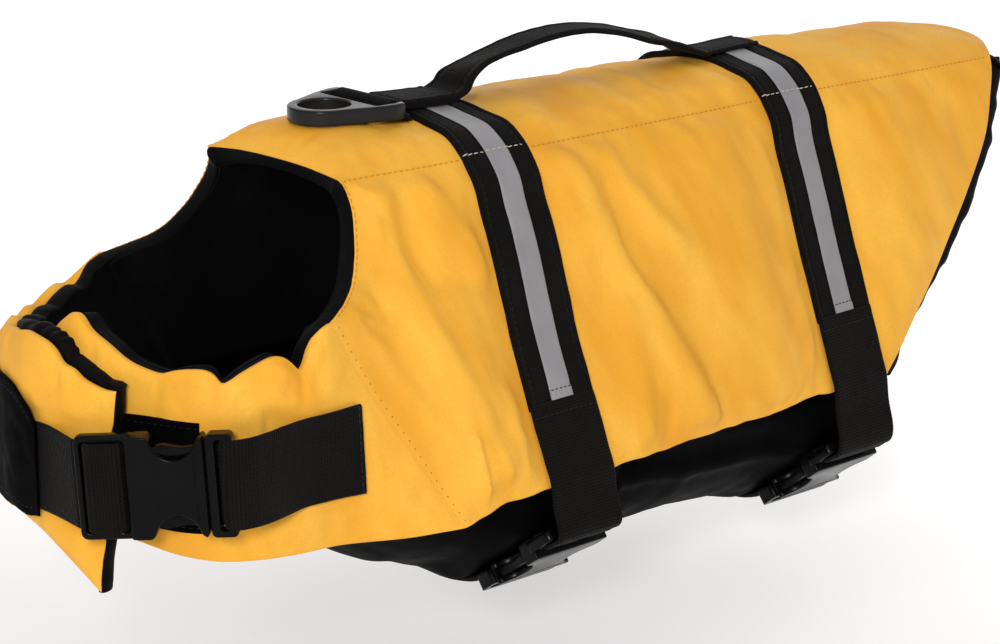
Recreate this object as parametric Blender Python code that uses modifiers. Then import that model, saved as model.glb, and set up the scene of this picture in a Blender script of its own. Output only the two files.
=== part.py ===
"""Dog life jacket, size L: padded back, two padded sides, two padded neck bands that
close on the chest, a belly panel, two belly straps with reflective tape, a grab handle
and a plastic lead ring.

Axes: +X towards the tail, -X towards the head, -Y is the dog's left side, +Z up.
The pattern is drawn in millimetres about the top of the back at the front strap, and
the whole jacket hangs under one empty that puts the world origin on the lining, under
the middle of the back, where the jacket sits on its wearer.
"""

import math

import bmesh
import bpy
import numpy as np
from mathutils import Matrix, Vector

MM = 0.001

# ---- driving dimensions, mm -------------------------------------------------------
GAP = 0.3  # between touching pieces
PAD_T = 8.0  # foam panel, cover to cover
PAD_EDGE_T = 2.6  # foam panel where it is stitched down
PAD_EDGE_DIP = 1.0  # the cover drops this much at its stitched edge
EDGE_RAMP = 8.0  # width of the stitched-down border
LINING_T = 1.5
LINING_GAP = 1.3  # lining to foam; the cloth hangs clear of it
BELLY_T = 2.2
WEBBING_W = 39.0
WEBBING_T = 1.6
BAND_T = 2.4  # webbing with its sewn backing, over the back
TAPE_W = 13.0  # reflective tape
TAPE_T = 0.6
STRAP_X = (2.5, 202.5)  # front and rear strap
HANDLE_T = 2.4
RING_R = 85.0  # radius of the neck ring, outside
RING_X = -130.0  # its centre
BAND_INSET = -11.6  # the left band tucks under
BAND_PROUD = 1.5  # the right band laps over
WEARER = (100.0, 0.0, -15.4)  # world origin in pattern coordinates

# One row for each section across the body. y0 to y4 are the half widths at the top
# seam, at a quarter, half and three quarters of the drop, and at the hem line.
SECTION_COLUMNS = ("x", "z_seam", "z_hem", "y0", "y1", "y2", "y3", "y4")
SECTIONS = (
    (-174.0, -13.6, -158.0, 47.0, 63.0, 78.0, 91.0, 98.0),
    (-130.0, -13.0, -160.0, 60.0, 79.0, 84.5, 85.0, 85.0),
    (-86.0, -13.6, -158.0, 47.0, 63.0, 78.0, 91.0, 98.0),
    (-45.0, -14.3, -157.5, 47.5, 65.5, 79.0, 92.5, 105.0),
    (0.0, -15.0, -157.0, 48.0, 65.5, 77.3, 91.0, 106.5),
    (60.0, -16.0, -156.0, 47.0, 65.5, 79.0, 92.0, 104.0),
    (140.0, -17.2, -156.0, 45.0, 63.0, 76.0, 88.5, 99.5),
    (200.0, -18.0, -156.0, 43.5, 57.5, 69.5, 82.5, 95.0),
    (270.0, -19.3, -156.0, 44.0, 58.5, 71.0, 83.5, 95.0),
    (360.0, -20.5, -156.0, 44.0, 56.5, 68.5, 82.0, 95.0),
)
# Height of the top centre over the top seams.
CROWN_COLUMNS = ("x", "rise")
CROWN = (
    (-86.0, 4.5),
    (-75.0, 11.5),
    (-60.0, 14.3),
    (-35.0, 13.8),
    (0.0, 12.3),
    (60.0, 12.0),
    (130.0, 12.0),
    (200.0, 13.2),
    (280.0, 15.5),
    (340.0, 12.5),
    (362.0, 9.5),
)
# Rear edge of a side panel, from the top seam down to its tip.
TAIL_COLUMNS = ("z", "x")
TAIL_EDGE = (
    (-20.5, 358.0),
    (-28.0, 357.5),
    (-39.0, 352.0),
    (-57.0, 341.0),
    (-83.0, 314.5),
    (-100.0, 294.0),
    (-121.0, 269.0),
    (-131.0, 256.5),
    (-147.0, 237.5),
    (-156.0, 225.0),
)
# Neck edge of a side panel, from the top seam down to the chest seam.
NECK_COLUMNS = ("z", "x")
NECK_EDGE = (
    (-13.6, -86.0),
    (-20.0, -84.0),
    (-27.0, -84.0),
    (-34.0, -86.0),
    (-45.0, -91.0),
    (-56.0, -101.0),
    (-61.0, -112.5),
    (-64.0, -122.0),
)
# Lower edge of a side panel.
HEM_COLUMNS = ("x", "z")
HEM = (
    (-66.0, -163.5),
    (-57.0, -162.0),
    (-45.0, -158.5),
    (-30.0, -156.5),
    (0.0, -156.0),
    (100.0, -155.5),
    (225.0, -156.0),
)
CHEST_SEAM = ((-122.0, -64.0), (-66.0, -163.5))  # x, z of its two ends
# Upper and lower edge of a neck band, along the ring. a = 0 is the ring's widest
# point and a grows towards the front of the chest.
BAND_TOP_COLUMNS = ("a", "z_right", "z_left")
BAND_TOP = (
    (-8.0, -64.0, -64.0),
    (6.0, -71.0, -70.5),
    (20.0, -74.0, -74.0),
    (37.0, -78.0, -77.0),
    (54.0, -79.0, -77.5),
    (70.0, -77.5, -79.0),
    (85.0, -75.5, -79.0),
    (100.0, -73.0, -73.5),
    (112.0, -70.5, -68.0),
    (128.0, -69.5, -60.5),
    (138.0, -72.5, -64.5),
    (150.0, -79.0, -73.0),
    (175.0, -86.5, -87.0),
)
BAND_BOTTOM_COLUMNS = ("a", "z_right", "z_left")
BAND_BOTTOM = (
    (-64.0, -163.5, -163.5),
    (-30.0, -163.5, -163.5),
    (0.0, -162.5, -162.5),
    (50.0, -161.0, -161.0),
    (75.0, -159.0, -159.0),
    (94.0, -155.5, -155.5),
    (107.0, -152.5, -152.5),
    (121.0, -153.5, -150.5),
    (132.0, -156.0, -150.0),
    (144.5, -162.0, -150.5),
    (155.0, -169.0, -151.5),
    (165.0, -177.0, -153.0),
)
BAND_END_A = (175.0, 165.0)  # the ends of the two tables above
# Depth of the belly below the hem line.
BELLY_COLUMNS = ("x", "drop")
BELLY = (
    (-112.0, 8.0),
    (-92.0, 24.0),
    (-72.0, 38.0),
    (-50.0, 48.0),
    (-20.0, 57.0),
    (60.0, 61.0),
    (130.0, 64.0),
    (200.0, 66.0),
    (232.0, 58.0),
)
BELLY_X = (-110.0, 231.0)
BELLY_TOP_Z = -128.0  # it reaches this high inside the sides
BAND_END_Z = -123.5  # where the upper band stops on the side
TAPE_END_Z = -121.5
# Handle: height of its underside over the pattern origin, and its tilt.
HANDLE_COLUMNS = ("x", "z", "tilt_deg", "width")
HANDLE = (
    (18.0, 2.6, 0.0, 25.0),
    (21.0, 4.2, 0.0, 25.0),
    (24.5, 8.4, 4.0, 25.0),
    (31.0, 11.6, 9.0, 24.0),
    (42.0, 14.4, 9.0, 22.5),
    (60.0, 18.0, 2.0, 20.0),
    (84.0, 20.3, 0.0, 18.5),
    (103.0, 19.9, -1.0, 18.0),
    (124.0, 16.0, -5.0, 18.0),
    (144.0, 10.3, -9.0, 19.0),
    (160.0, 6.2, -6.0, 21.0),
    (176.0, 3.4, 0.0, 24.0),
)
# Lead ring.
RING_HOLE_X, RING_HOLE_R = -57.0, 10.8
RING_TIP_R = 16.0
RING_BAR_X = -30.6
RING_HALF_W = 24.3
RING_RAIL = 4.6
RING_T = 7.2
RING_BAR_T = 3.8
RING_Z = 4.6
LOOP_W = 38.0


# ---- curves through the tables ----------------------------------------------------
def through(rows, x, col=1):
    """Smooth value of a table's column at x: a cubic through the rows, which keeps
    each run's slope between its neighbours'."""
    xs = [r[0] for r in rows]
    ys = [r[col] for r in rows]
    if xs[0] > xs[-1]:
        xs, ys = xs[::-1], ys[::-1]
    n = len(xs)
    slopes = [(ys[i + 1] - ys[i]) / (xs[i + 1] - xs[i]) for i in range(n - 1)]
    if x <= xs[0]:
        return ys[0] + slopes[0] * (x - xs[0])
    if x >= xs[-1]:
        return ys[-1] + slopes[-1] * (x - xs[-1])
    i = max(k for k in range(n - 1) if xs[k] <= x)

    def tangent(k):
        if k == 0:
            return slopes[0]
        if k == n - 1:
            return slopes[-1]
        return 0.5 * (slopes[k - 1] + slopes[k])

    h = xs[i + 1] - xs[i]
    t = (x - xs[i]) / h
    m0, m1 = tangent(i) * h, tangent(i + 1) * h
    return (
        (2 * t**3 - 3 * t**2 + 1) * ys[i]
        + (t**3 - 2 * t**2 + t) * m0
        + (3 * t**2 - 2 * t**3) * ys[i + 1]
        + (t**3 - t**2) * m1
    )


def smoothstep(t):
    t = min(1.0, max(0.0, t))
    return t * t * (3 - 2 * t)


def section(x):
    return [through(SECTIONS, x, k) for k in range(1, 8)]


def half_width(x, z):
    """Half width of the cover at a station and height, below the top seam."""
    z_seam, z_hem, *ys = section(x)
    t = (z - z_seam) / (z_hem - z_seam)
    return through([(0.25 * k, y) for k, y in enumerate(ys)], t)


def top_z(x, y):
    z_seam, _, y0, *_ = section(x)
    return z_seam + through(CROWN, x) * (1 - min(1.0, abs(y) / y0) ** 2.2)


def cover_point(x, s):
    """Point of the cover. s runs round the section: 0 top centre, 1 the right top
    seam, 2 the right hem line, and the same with a minus sign on the left."""
    side, d = (-1 if s < 0 else 1), abs(s)
    z_seam, z_hem, y0, *_ = section(x)
    if d <= 1:
        return np.array((x, side * d * y0, top_z(x, d * y0)))
    z = z_seam + (z_hem - z_seam) * (d - 1)
    return np.array((x, side * half_width(x, z), z))


TOP_RUN, SIDE_RUN = 50.0, 153.0  # arc length of s = 0..1 and 1..2


def along(s, d):
    """s moved by d mm round the section."""
    run = s * TOP_RUN if abs(s) <= 1 else math.copysign(TOP_RUN + (abs(s) - 1) * SIDE_RUN, s)
    run += d
    if abs(run) <= TOP_RUN:
        return run / TOP_RUN
    return math.copysign(1 + (abs(run) - TOP_RUN) / SIDE_RUN, run)


def cover_normal(x, s):
    across = cover_point(x, along(s, 6.0)) - cover_point(x, along(s, -6.0))
    ahead = cover_point(x + 4.0, s) - cover_point(x - 4.0, s)
    n = np.cross(ahead, across)
    return n / np.linalg.norm(n)


def cover(x, s, lift=0.0):
    return cover_point(x, s) + lift * cover_normal(x, s)


def s_at(x, z, side):
    z_seam, z_hem, *_ = section(x)
    return side * (1 + (z - z_seam) / (z_hem - z_seam))


def side_cover(x, z, side, lift=0.0):
    return cover(x, s_at(x, z, side), lift)


def band_swell(a, side):
    """The left band runs inside the right one where they cross on the chest."""
    return smoothstep((a - 42.0) / 48.0) * (BAND_PROUD if side > 0 else BAND_INSET)


def band_point(a, z, side):
    if a <= 0:
        return side_cover(RING_X - a, z, side)
    phi = a / RING_R
    r = half_width(RING_X, z) + band_swell(a, side)
    return np.array((RING_X - r * math.sin(phi), side * r * math.cos(phi), z))


def band_normal(a, z, side):
    if a <= 0:
        return cover_normal(RING_X - a, s_at(RING_X - a, z, side))
    ahead = band_point(a + 3.0, z, side) - band_point(max(a - 3.0, 0.0), z, side)
    down = band_point(a, z - 4.0, side) - band_point(a, z + 4.0, side)
    n = np.cross(down, ahead) * side
    ring = n / np.linalg.norm(n)
    joint = cover_normal(RING_X, s_at(RING_X, z, side))
    w = smoothstep(a / 12.0)
    n = ring * w + joint * (1 - w)
    return n / np.linalg.norm(n)


def band(a, z, side, lift=0.0):
    return band_point(a, z, side) + lift * band_normal(a, z, side)


def chest_seam_x(z):
    (x0, z0), (x1, z1) = CHEST_SEAM
    return x0 + (x1 - x0) * (z - z0) / (z1 - z0)


# ---- mesh helpers -----------------------------------------------------------------
def clear_scene():
    for obj in list(bpy.data.objects):
        bpy.data.objects.remove(obj, do_unlink=True)


clear_scene()
scene = bpy.context.scene
parts = bpy.data.collections.new("dog_life_jacket")
cutters = bpy.data.collections.new("cutters")
scene.collection.children.link(parts)
scene.collection.children.link(cutters)
cutters.hide_render = True

root = bpy.data.objects.new("jacket_origin", None)
root.location = [-v * MM for v in WEARER]
parts.objects.link(root)


def material(name, colour, roughness, metallic=0.0):
    mat = bpy.data.materials.new(name)
    mat.use_nodes = True
    bsdf = mat.node_tree.nodes["Principled BSDF"]
    bsdf.inputs["Base Color"].default_value = (*colour, 1.0)
    bsdf.inputs["Roughness"].default_value = roughness
    bsdf.inputs["Metallic"].default_value = metallic
    mat.diffuse_color = (*colour, 1.0)
    return mat


YELLOW = material("yellow_cover", (0.90, 0.45, 0.045), 0.5)
LINING = material("black_lining", (0.012, 0.011, 0.013), 0.7)
WEBBING = material("black_webbing", (0.015, 0.014, 0.014), 0.8)
TAPE = material("grey_reflective_tape", (0.31, 0.31, 0.32), 0.35)
PLASTIC = material("black_plastic", (0.018, 0.018, 0.019), 0.4)


def new_object(name, mesh, mat, parent=root):
    obj = bpy.data.objects.new(name, mesh)
    mesh.materials.clear()
    mesh.materials.append(mat)
    parts.objects.link(obj)
    obj.parent = parent
    mesh.shade_smooth()
    mesh.set_sharp_from_angle(angle=math.radians(50))
    return obj


def recalc(bm):
    bmesh.ops.recalc_face_normals(bm, faces=bm.faces[:])


def sheet(name, surface, us, vs, thick, mat, parent=root):
    """An open grid bent onto surface(u, v), thickened along its own normals. The
    surface given is the sheet's inner face, and the thickness goes outwards."""
    nu, nv = len(us), len(vs)
    bm = bmesh.new()
    bmesh.ops.create_grid(bm, x_segments=nu - 1, y_segments=nv - 1, size=1.0)
    for v in bm.verts:
        i = round((v.co.x + 1) / 2 * (nu - 1))
        j = round((v.co.y + 1) / 2 * (nv - 1))
        v.co = Vector(surface(us[i], vs[j])) * MM
    mesh = bpy.data.meshes.new(name)
    bm.to_mesh(mesh)
    bm.free()
    obj = new_object(name, mesh, mat, parent)
    solid = obj.modifiers.new("thickness", "SOLIDIFY")
    solid.thickness = thick * MM
    solid.offset = 1.0
    solid.use_even_offset = True
    solid.use_quality_normals = True
    return obj


def loft(name, rings, mat, parent=root):
    """A closed solid through rings of the same point count, capped at both ends."""
    bm = bmesh.new()
    loops = [[bm.verts.new(Vector(p) * MM) for p in ring] for ring in rings]
    n = len(loops[0])
    for a, b in zip(loops, loops[1:]):
        for k in range(n):
            bm.faces.new((a[k], a[(k + 1) % n], b[(k + 1) % n], b[k]))
    bm.faces.new(loops[0])
    bm.faces.new(loops[-1])
    bmesh.ops.triangulate(bm, faces=bm.faces[:])
    recalc(bm)
    mesh = bpy.data.meshes.new(name)
    bm.to_mesh(mesh)
    bm.free()
    return new_object(name, mesh, mat, parent)


def padded(name, grid, mat):
    """A foam panel lofted through grid[i][j] = (point, normal, distance to its
    stitched edge): full thickness inside, thin and dipped along the edge."""
    rings = []
    for row in grid:
        outer, inner = [], []
        for p, n, d in row:
            w = min(1.0, d / (EDGE_RAMP - 1.0))
            top = -PAD_EDGE_DIP * (1 - w)
            low = -PAD_T * w - (PAD_EDGE_DIP + PAD_EDGE_T) * (1 - w)
            outer.append(p + n * top)
            inner.append(p + n * low)
        rings.append((outer, inner))
    bm = bmesh.new()
    nu, nv = len(rings), len(rings[0][0])
    skin = [[[bm.verts.new(Vector(p) * MM) for p in face] for face in ring] for ring in rings]
    for i in range(nu - 1):
        for j in range(nv - 1):
            for k in (0, 1):
                bm.faces.new((skin[i][k][j], skin[i + 1][k][j], skin[i + 1][k][j + 1], skin[i][k][j + 1]))
    for i in range(nu - 1):
        for j in (0, nv - 1):
            bm.faces.new((skin[i][0][j], skin[i + 1][0][j], skin[i + 1][1][j], skin[i][1][j]))
    for j in range(nv - 1):
        for i in (0, nu - 1):
            bm.faces.new((skin[i][0][j], skin[i][0][j + 1], skin[i][1][j + 1], skin[i][1][j]))
    recalc(bm)
    bmesh.ops.triangulate(bm, faces=bm.faces[:])
    mesh = bpy.data.meshes.new(name)
    bm.to_mesh(mesh)
    bm.free()
    return new_object(name, mesh, mat)


def spaced(n, edge):
    """n + 1 fractions from 0 to 1, the first and last steps of the given size."""
    inner = np.linspace(edge, 1 - edge, n - 1)
    return [0.0, *inner.tolist(), 1.0]


def polyline_at(points, f):
    """Point at the fraction f of a polyline's length."""
    p = np.array(points, float)
    seg = np.linalg.norm(np.diff(p, axis=0), axis=1)
    run = np.concatenate([[0], np.cumsum(seg)])
    d = f * run[-1]
    return np.array([np.interp(d, run, p[:, k]) for k in range(p.shape[1])])


def coons(top, bottom, start, end, us, vs):
    """Points of the patch inside four edge curves of a 0..1 fraction: top and bottom
    run along u, start and end run down along v."""
    grid = []
    for u in us:
        row = []
        for v in vs:
            p = (1 - v) * top(u) + v * bottom(u) + (1 - u) * start(v) + u * end(v)
            p -= (1 - u) * (1 - v) * top(0) + u * (1 - v) * top(1)
            p -= (1 - u) * v * bottom(0) + u * v * bottom(1)
            row.append(p)
        grid.append(row)
    return grid


def edge_distance(grid, i, j):
    """Least distance in the flat pattern from a grid point to the patch's edges."""
    p = grid[i][j]
    rim = (
        [row[0] for row in grid]
        + [row[-1] for row in grid]
        + list(grid[0])
        + list(grid[-1])
    )
    return min(float(np.linalg.norm(p - q)) for q in rim)


# ---- padded panels ----------------------------------------------------------------
TAIL_BOW = 24.0  # how far the middle of the back's rear edge stands out behind its corners


def back_panel():
    x0, x1 = -86.0, 358.0
    stations = [x0, x0 + 8, x0 + 22, x0 + 42, x0 + 64]
    stations += list(np.linspace(0, 330, 13))
    stations += [x1 - 8, x1]
    around = [-1 + 0.005, -0.87, -0.68, -0.45, -0.22, 0, 0.22, 0.45, 0.68, 0.87, 1 - 0.005]
    grid = []
    for x in stations:
        row = []
        for s in around:
            bow = TAIL_BOW * (1 - s * s) * smoothstep((x - 250) / (x1 - 250))
            nose = -1.5 * (1 - s * s) * smoothstep((-60 - x) / 26.0)
            xx = x + bow + nose
            d = min(x - x0, x1 - x, (1 - abs(s)) * TOP_RUN)
            row.append((cover_point(xx, s), cover_normal(xx, s), d))
        grid.append(row)
    return padded("back_panel", grid, YELLOW)


def side_domain():
    """Flat pattern (x, z) of a side panel, as a grid from the tail to the chest."""
    n_seam, n_neck = 17, 6
    seam = [np.array((x, section(x)[0] - 0.15)) for x in np.linspace(358.0, -86.0, n_seam + 1)]
    neck = [polyline_at([(x, z) for z, x in NECK_EDGE], f) for f in np.linspace(0, 1, n_neck + 1)]
    neck[0] = seam[-1]
    upper = seam + neck[1:]
    share = 0.82
    fractions = [share * i / n_seam for i in range(n_seam + 1)]
    fractions += [share + (1 - share) * i / n_neck for i in range(1, n_neck + 1)]
    hem_x = np.linspace(225.0, -66.0, 41)
    hem_line = [(x, through(HEM, x)) for x in hem_x]
    us = [0.0, 0.02] + [i / (len(upper) - 1) for i in range(1, len(upper) - 1)] + [0.982, 1.0]
    us = sorted(us)

    def top(u):
        k = u * (len(upper) - 1)
        i = min(int(k), len(upper) - 2)
        return upper[i] + (upper[i + 1] - upper[i]) * (k - i)

    def bottom(u):
        k = u * (len(fractions) - 1)
        i = min(int(k), len(fractions) - 2)
        f = fractions[i] + (fractions[i + 1] - fractions[i]) * (k - i)
        return polyline_at(hem_line, f)

    def start(v):
        return polyline_at([(x, z) for z, x in TAIL_EDGE], v)

    def end(v):
        z = CHEST_SEAM[0][1] + (CHEST_SEAM[1][1] - CHEST_SEAM[0][1]) * v
        return np.array((chest_seam_x(z) + 0.2, z))

    vs = [0.0, 0.055, 0.17, 0.31, 0.45, 0.59, 0.73, 0.86, 0.95, 1.0]
    return coons(top, bottom, start, end, us, vs)


SIDE_DOMAIN = side_domain()


def side_panel(name, side):
    grid = []
    for i, row in enumerate(SIDE_DOMAIN):
        out = []
        for j, (x, z) in enumerate(row):
            s = s_at(x, z, side)
            d = edge_distance(SIDE_DOMAIN, i, j)
            out.append((cover_point(x, s), cover_normal(x, s), d))
        grid.append(out)
    return padded(name, grid, YELLOW)


def band_domain(side, seam_gap, trim, nu=17, vs=None):
    """Flat pattern (a, z) of a neck band, from the chest seam to its free end. trim
    draws its lower edge and its end in."""
    tops = np.linspace(BAND_TOP[0][0], BAND_END_A[0], 49)
    lows = np.linspace(BAND_BOTTOM[0][0], BAND_END_A[1], 49)
    column = 1 if side > 0 else 2
    top_line = [(a, through(BAND_TOP, a, column)) for a in tops]
    low_line = [(a, through(BAND_BOTTOM, a, column) + trim) for a in lows]

    def start(v):
        z = CHEST_SEAM[0][1] + (CHEST_SEAM[1][1] + trim - CHEST_SEAM[0][1]) * v
        return np.array((RING_X - chest_seam_x(z) + seam_gap, z))

    first, last = start(0.0), start(1.0)
    top_line[0], low_line[0] = tuple(first), tuple(last)
    if trim:
        top_line = [(a - trim * smoothstep((a - 150) / 20), z) for a, z in top_line]
        low_line = [(a - trim * smoothstep((a - 140) / 20), z) for a, z in low_line]

    def top(u):
        return polyline_at(top_line, u)

    def bottom(u):
        return polyline_at(low_line, u)

    def end(v):
        return top(1.0) + (bottom(1.0) - top(1.0)) * v

    us = spaced(nu, 0.033)
    vs = vs or [0.0, 0.075, 0.25, 0.5, 0.75, 0.92, 1.0]
    return coons(top, bottom, start, end, us, vs)


def neck_band(name, side):
    domain = band_domain(side, 0.2, 0.0)
    grid = []
    for i, row in enumerate(domain):
        out = []
        for j, (a, z) in enumerate(row):
            d = edge_distance(domain, i, j)
            out.append((band_point(a, z, side), band_normal(a, z, side), d))
        grid.append(out)
    return padded(name, grid, YELLOW)


# ---- lining -----------------------------------------------------------------------
def tail_x(z):
    rows = [(-z_, x_) for z_, x_ in TAIL_EDGE]
    return through(rows, -z)


def neck_x(z):
    """Front edge of the body at a height: the neck curve, then the chest seam."""
    if z > CHEST_SEAM[0][1]:
        rows = [(-z_, x_) for z_, x_ in NECK_EDGE]
        return through(rows, -z)
    return chest_seam_x(z)


def lining_lift(d):
    """Lift of the lining's outer face, which follows the foam's thinner border."""
    w = min(1.0, max(0.0, d + 1.5) / (EDGE_RAMP - 1.0))
    return -(PAD_EDGE_DIP + PAD_EDGE_T) * (1 - w) - PAD_T * w - LINING_GAP


def body_lining():
    around = [-1.99, -1.945, -1.83, -1.68, -1.54, -1.42, -1.33, -1.24, -1.15, -1.06, -1.0]
    around += [-0.8, -0.5, -0.2]
    around = around + [-s for s in reversed(around)]
    stations = 22

    def surface(k, s):
        d = abs(s)
        if d <= 1:
            front, edge = -85.5, 358.0 + TAIL_BOW * (1 - d * d)
            spare = 3.2
        else:
            z = section(0)[0] + (section(0)[1] - section(0)[0]) * (d - 1)
            front, edge = neck_x(z) + 0.3, tail_x(z)
            spare = 5.0 - 2.0 * smoothstep((d - 1.1) / 0.3) - 2.6 * smoothstep((d - 1.7) / 0.25)
        stops = [front, front + 7.5, front + 16.0, front + 26.0, front + 38.0]
        stops += np.linspace(front + 54.0, edge - 30.0, stations - 9).tolist()
        stops += [edge - 16.0, edge - 8.0, edge, edge + spare]
        x = stops[int(k)]
        d_edge = min(x - front, edge - x)
        s_here = s
        if d > 1:
            low = through(HEM, x)
            z_here = max(z, low + 1.8 + 1.2 * smoothstep((x - 200.0) / 15.0))
            s_here = s_at(x, z_here, 1 if s > 0 else -1)
            d_edge = min(d_edge, z_here - low)
        # The flank turns sharply towards the neck, and the lining cuts that corner.
        slack = (0.3 + 0.6 * smoothstep(d_edge / 7.0)) * smoothstep((-50.0 - x) / 20.0) * (d > 1)
        slack += 0.6 * smoothstep((x - 205.0) / 12.0) * smoothstep((d - 1.85) / 0.08)
        return cover(x, s_here, lining_lift(d_edge) - LINING_T - slack)

    return sheet("lining_body", surface, list(range(stations)), around, LINING_T, LINING)


def band_lining_left():
    domain = band_domain(-1, 0.5, 0.8)
    nu, nv = len(domain), len(domain[0])

    def surface(i, j):
        a, z = domain[int(i)][int(j)]
        d = edge_distance(domain, int(i), int(j))
        return band(a, z, -1, lining_lift(d) - LINING_T - 0.4)

    return sheet("lining_neck_left", surface, list(range(nu)), list(range(nv)), LINING_T, LINING)


def band_lining_right():
    """Sheet with its top edge rolled up over the foam: behind the cover's top edge at
    the side of the neck, and over it towards the front of the chest."""
    stations = spaced(21, 0.03)
    thin = -(PAD_EDGE_DIP + PAD_EDGE_T) - LINING_GAP
    full = -PAD_T - LINING_GAP
    rings = []
    for u in stations:
        a_top = -7.4 + (BAND_END_A[0] - 2.0 + 7.4) * u
        a_low = -63.2 + (BAND_END_A[1] - 2.0 + 63.2) * u
        z_top = through(BAND_TOP, a_top, 1)
        z_low = through(BAND_BOTTOM, a_low) + 0.8
        over = smoothstep((a_top - 84.0) / 26.0)
        born = smoothstep(u / 0.08)
        edge = min(1.0, (min(u, 1 - u) * 230.0 + 3.5) / 7.0)
        flat = thin * (1 - edge) + (full - 0.3) * edge
        body = [(thin, z_low), (flat, z_low + 5.6)]
        for f in (0.36, 0.62, 0.86):
            body.append((flat, z_low + (z_top - 10.0 - z_low) * f))
        rise = born * (1.0 + 2.6 * over)
        lip = thin + born * over * 3.6
        roll = [
            (flat, z_top - 8.5),
            (thin - 0.2, z_top - 1.0),
            (thin - 0.1, z_top + 0.35),
            (lip + 0.1, z_top + 0.4),
            (lip, z_top + 0.6 + rise * 0.6),
            ((lip + thin) / 2 - 0.6, z_top + 0.9 + rise),
            (thin - 3.2, z_top + 0.8 + rise),
            (full - 1.2, z_top - 1.2 + rise * 0.5),
            (full - LINING_T - 0.6 * born, z_top - 4.5),
            (flat - LINING_T, z_top - 10.0),
        ]
        back = [(lift - LINING_T, z) for lift, z in reversed(body)]
        ring = []
        for lift, z in body + roll + back:
            f = (z_top - z) / (z_top - z_low)
            ring.append(band(a_top + (a_low - a_top) * f, z, 1, lift))
        rings.append(ring)
    return loft("lining_neck_right", rings, LINING)


# ---- belly panel ------------------------------------------------------------------
HEM_Z = -157.0
BELLY_INSIDE = 13.4  # its outer face, in from the cover


def belly_half(x):
    return half_width(x, HEM_Z) - BELLY_INSIDE


def belly_point(x, q, lift=0.0):
    """Outer face of the belly panel. q is -1 and 1 at the left and right hem line and
    0 at the bottom; past them it goes up inside the side panels."""
    side = -1 if q < 0 else 1
    if abs(q) > 1:
        z = HEM_Z + (abs(q) - 1) * (BELLY_TOP_Z - HEM_Z)
        w = smoothstep(abs(q) - 1)
        y = belly_half(x) + (half_width(x, z) - BELLY_INSIDE - belly_half(x)) * w
        y = min(y, half_width(x, z) - BELLY_INSIDE)
        return np.array((x, side * (y + lift), z))
    th = (1 - abs(q)) * math.pi / 2
    drop = through(BELLY, x)
    p = np.array((x, side * belly_half(x) * math.cos(th), HEM_Z - drop * math.sin(th)))
    if lift:
        n = np.array((0.0, side * math.cos(th) * drop, -math.sin(th) * belly_half(x)))
        p = p + lift * n / np.linalg.norm(n)
    return p


def belly_panel():
    xs = [-110, -101, -88, -72, -52, -28, 0, 33, 66, 100, 133, 166, 198, 216, 231]
    qs = [-2.0, -1.5, -1.0, -0.86, -0.7, -0.54, -0.36, -0.18, 0.0]
    qs = [-q for q in qs] + qs[-2::-1]
    return sheet("belly_panel", lambda x, q: belly_point(x, q, -BELLY_T), xs, qs, BELLY_T, LINING)


# ---- straps over the back ---------------------------------------------------------
def strap_band(name, x0):
    low = s_at(x0, BAND_END_Z, 1)
    around = [low, 1.6, 1.45, 1.3, 1.16, 1.08, 1.02, 0.96, 0.86, 0.7, 0.5, 0.25]
    around = [-s for s in around] + [0.0] + around[::-1]
    across = [-WEBBING_W / 2, 0.0, WEBBING_W / 2]
    return sheet(name, lambda dx, s: cover(x0 + dx, s, GAP), across, around, BAND_T, WEBBING)


def strap_tape(name, x0):
    low = s_at(x0, TAPE_END_Z, 1)
    around = [low, 1.6, 1.45, 1.3, 1.16, 1.08, 1.02, 0.96, 0.86, 0.7, 0.5, 0.25]
    around = [-s for s in around] + [0.0] + around[::-1]
    lift = GAP + BAND_T + GAP
    across = [-TAPE_W / 2, TAPE_W / 2]
    return sheet(name, lambda dx, s: cover(x0 + dx, s, lift), across, around, TAPE_T, TAPE)


def ribbon(name, path, x0, width, thick, mat=WEBBING):
    """Webbing laid along X across a path of (y, z) points; path(dx) gives the path at
    each edge and down the middle, and the thickness goes outwards."""
    across = [-width / 2, 0.0, width / 2]
    lines = {dx: path(dx) for dx in across}
    return sheet(
        name,
        lambda dx, k: np.array((x0 + dx, lines[dx][int(k)][0], lines[dx][int(k)][1])),
        across,
        list(range(len(lines[0.0]))),
        thick,
        mat,
    )


def smooth_path(points, n):
    """n points evenly along a smooth curve through the given ones."""
    p = np.array(points, float)
    seg = np.linalg.norm(np.diff(p, axis=0), axis=1)
    run = np.concatenate([[0], np.cumsum(seg)])
    out = []
    for d in np.linspace(0, run[-1], n):
        out.append([through(list(zip(run, p[:, k])), d) for k in range(p.shape[1])])
    return np.array(out)


# Buckle plane under the belly: centre of its back face and its slope down to the
# middle of the belly.
BUCKLE_COLUMNS = ("strap_x", "y", "z", "slope_deg")
BELLY_BUCKLES = (
    (STRAP_X[0], -84.3, -188.8, 37.0),
    (STRAP_X[1], -73.4, -196.1, 39.0),
)
BUCKLE_W, BUCKLE_T = 45.0, 11.0
BODY_X = (-20.5, 12.5)  # the socket's hollow body
ADJUSTER_END = {"neck": 35.0, "belly": 26.0}
PLUG_END = -32.5


def buckle_frame(x0, y, z, slope):
    """Local axes of a belly buckle: X towards the adjuster end (up the left side),
    Y across, Z away from the belly."""
    a = math.radians(slope)
    ex = Vector((0.0, -math.cos(a), math.sin(a)))
    ez = Vector((0.0, -math.sin(a), -math.cos(a)))
    ey = ez.cross(ex)
    m = Matrix((ex, ey, ez)).transposed().to_4x4()
    m.translation = Vector((x0, y, z)) * MM
    return m


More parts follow.
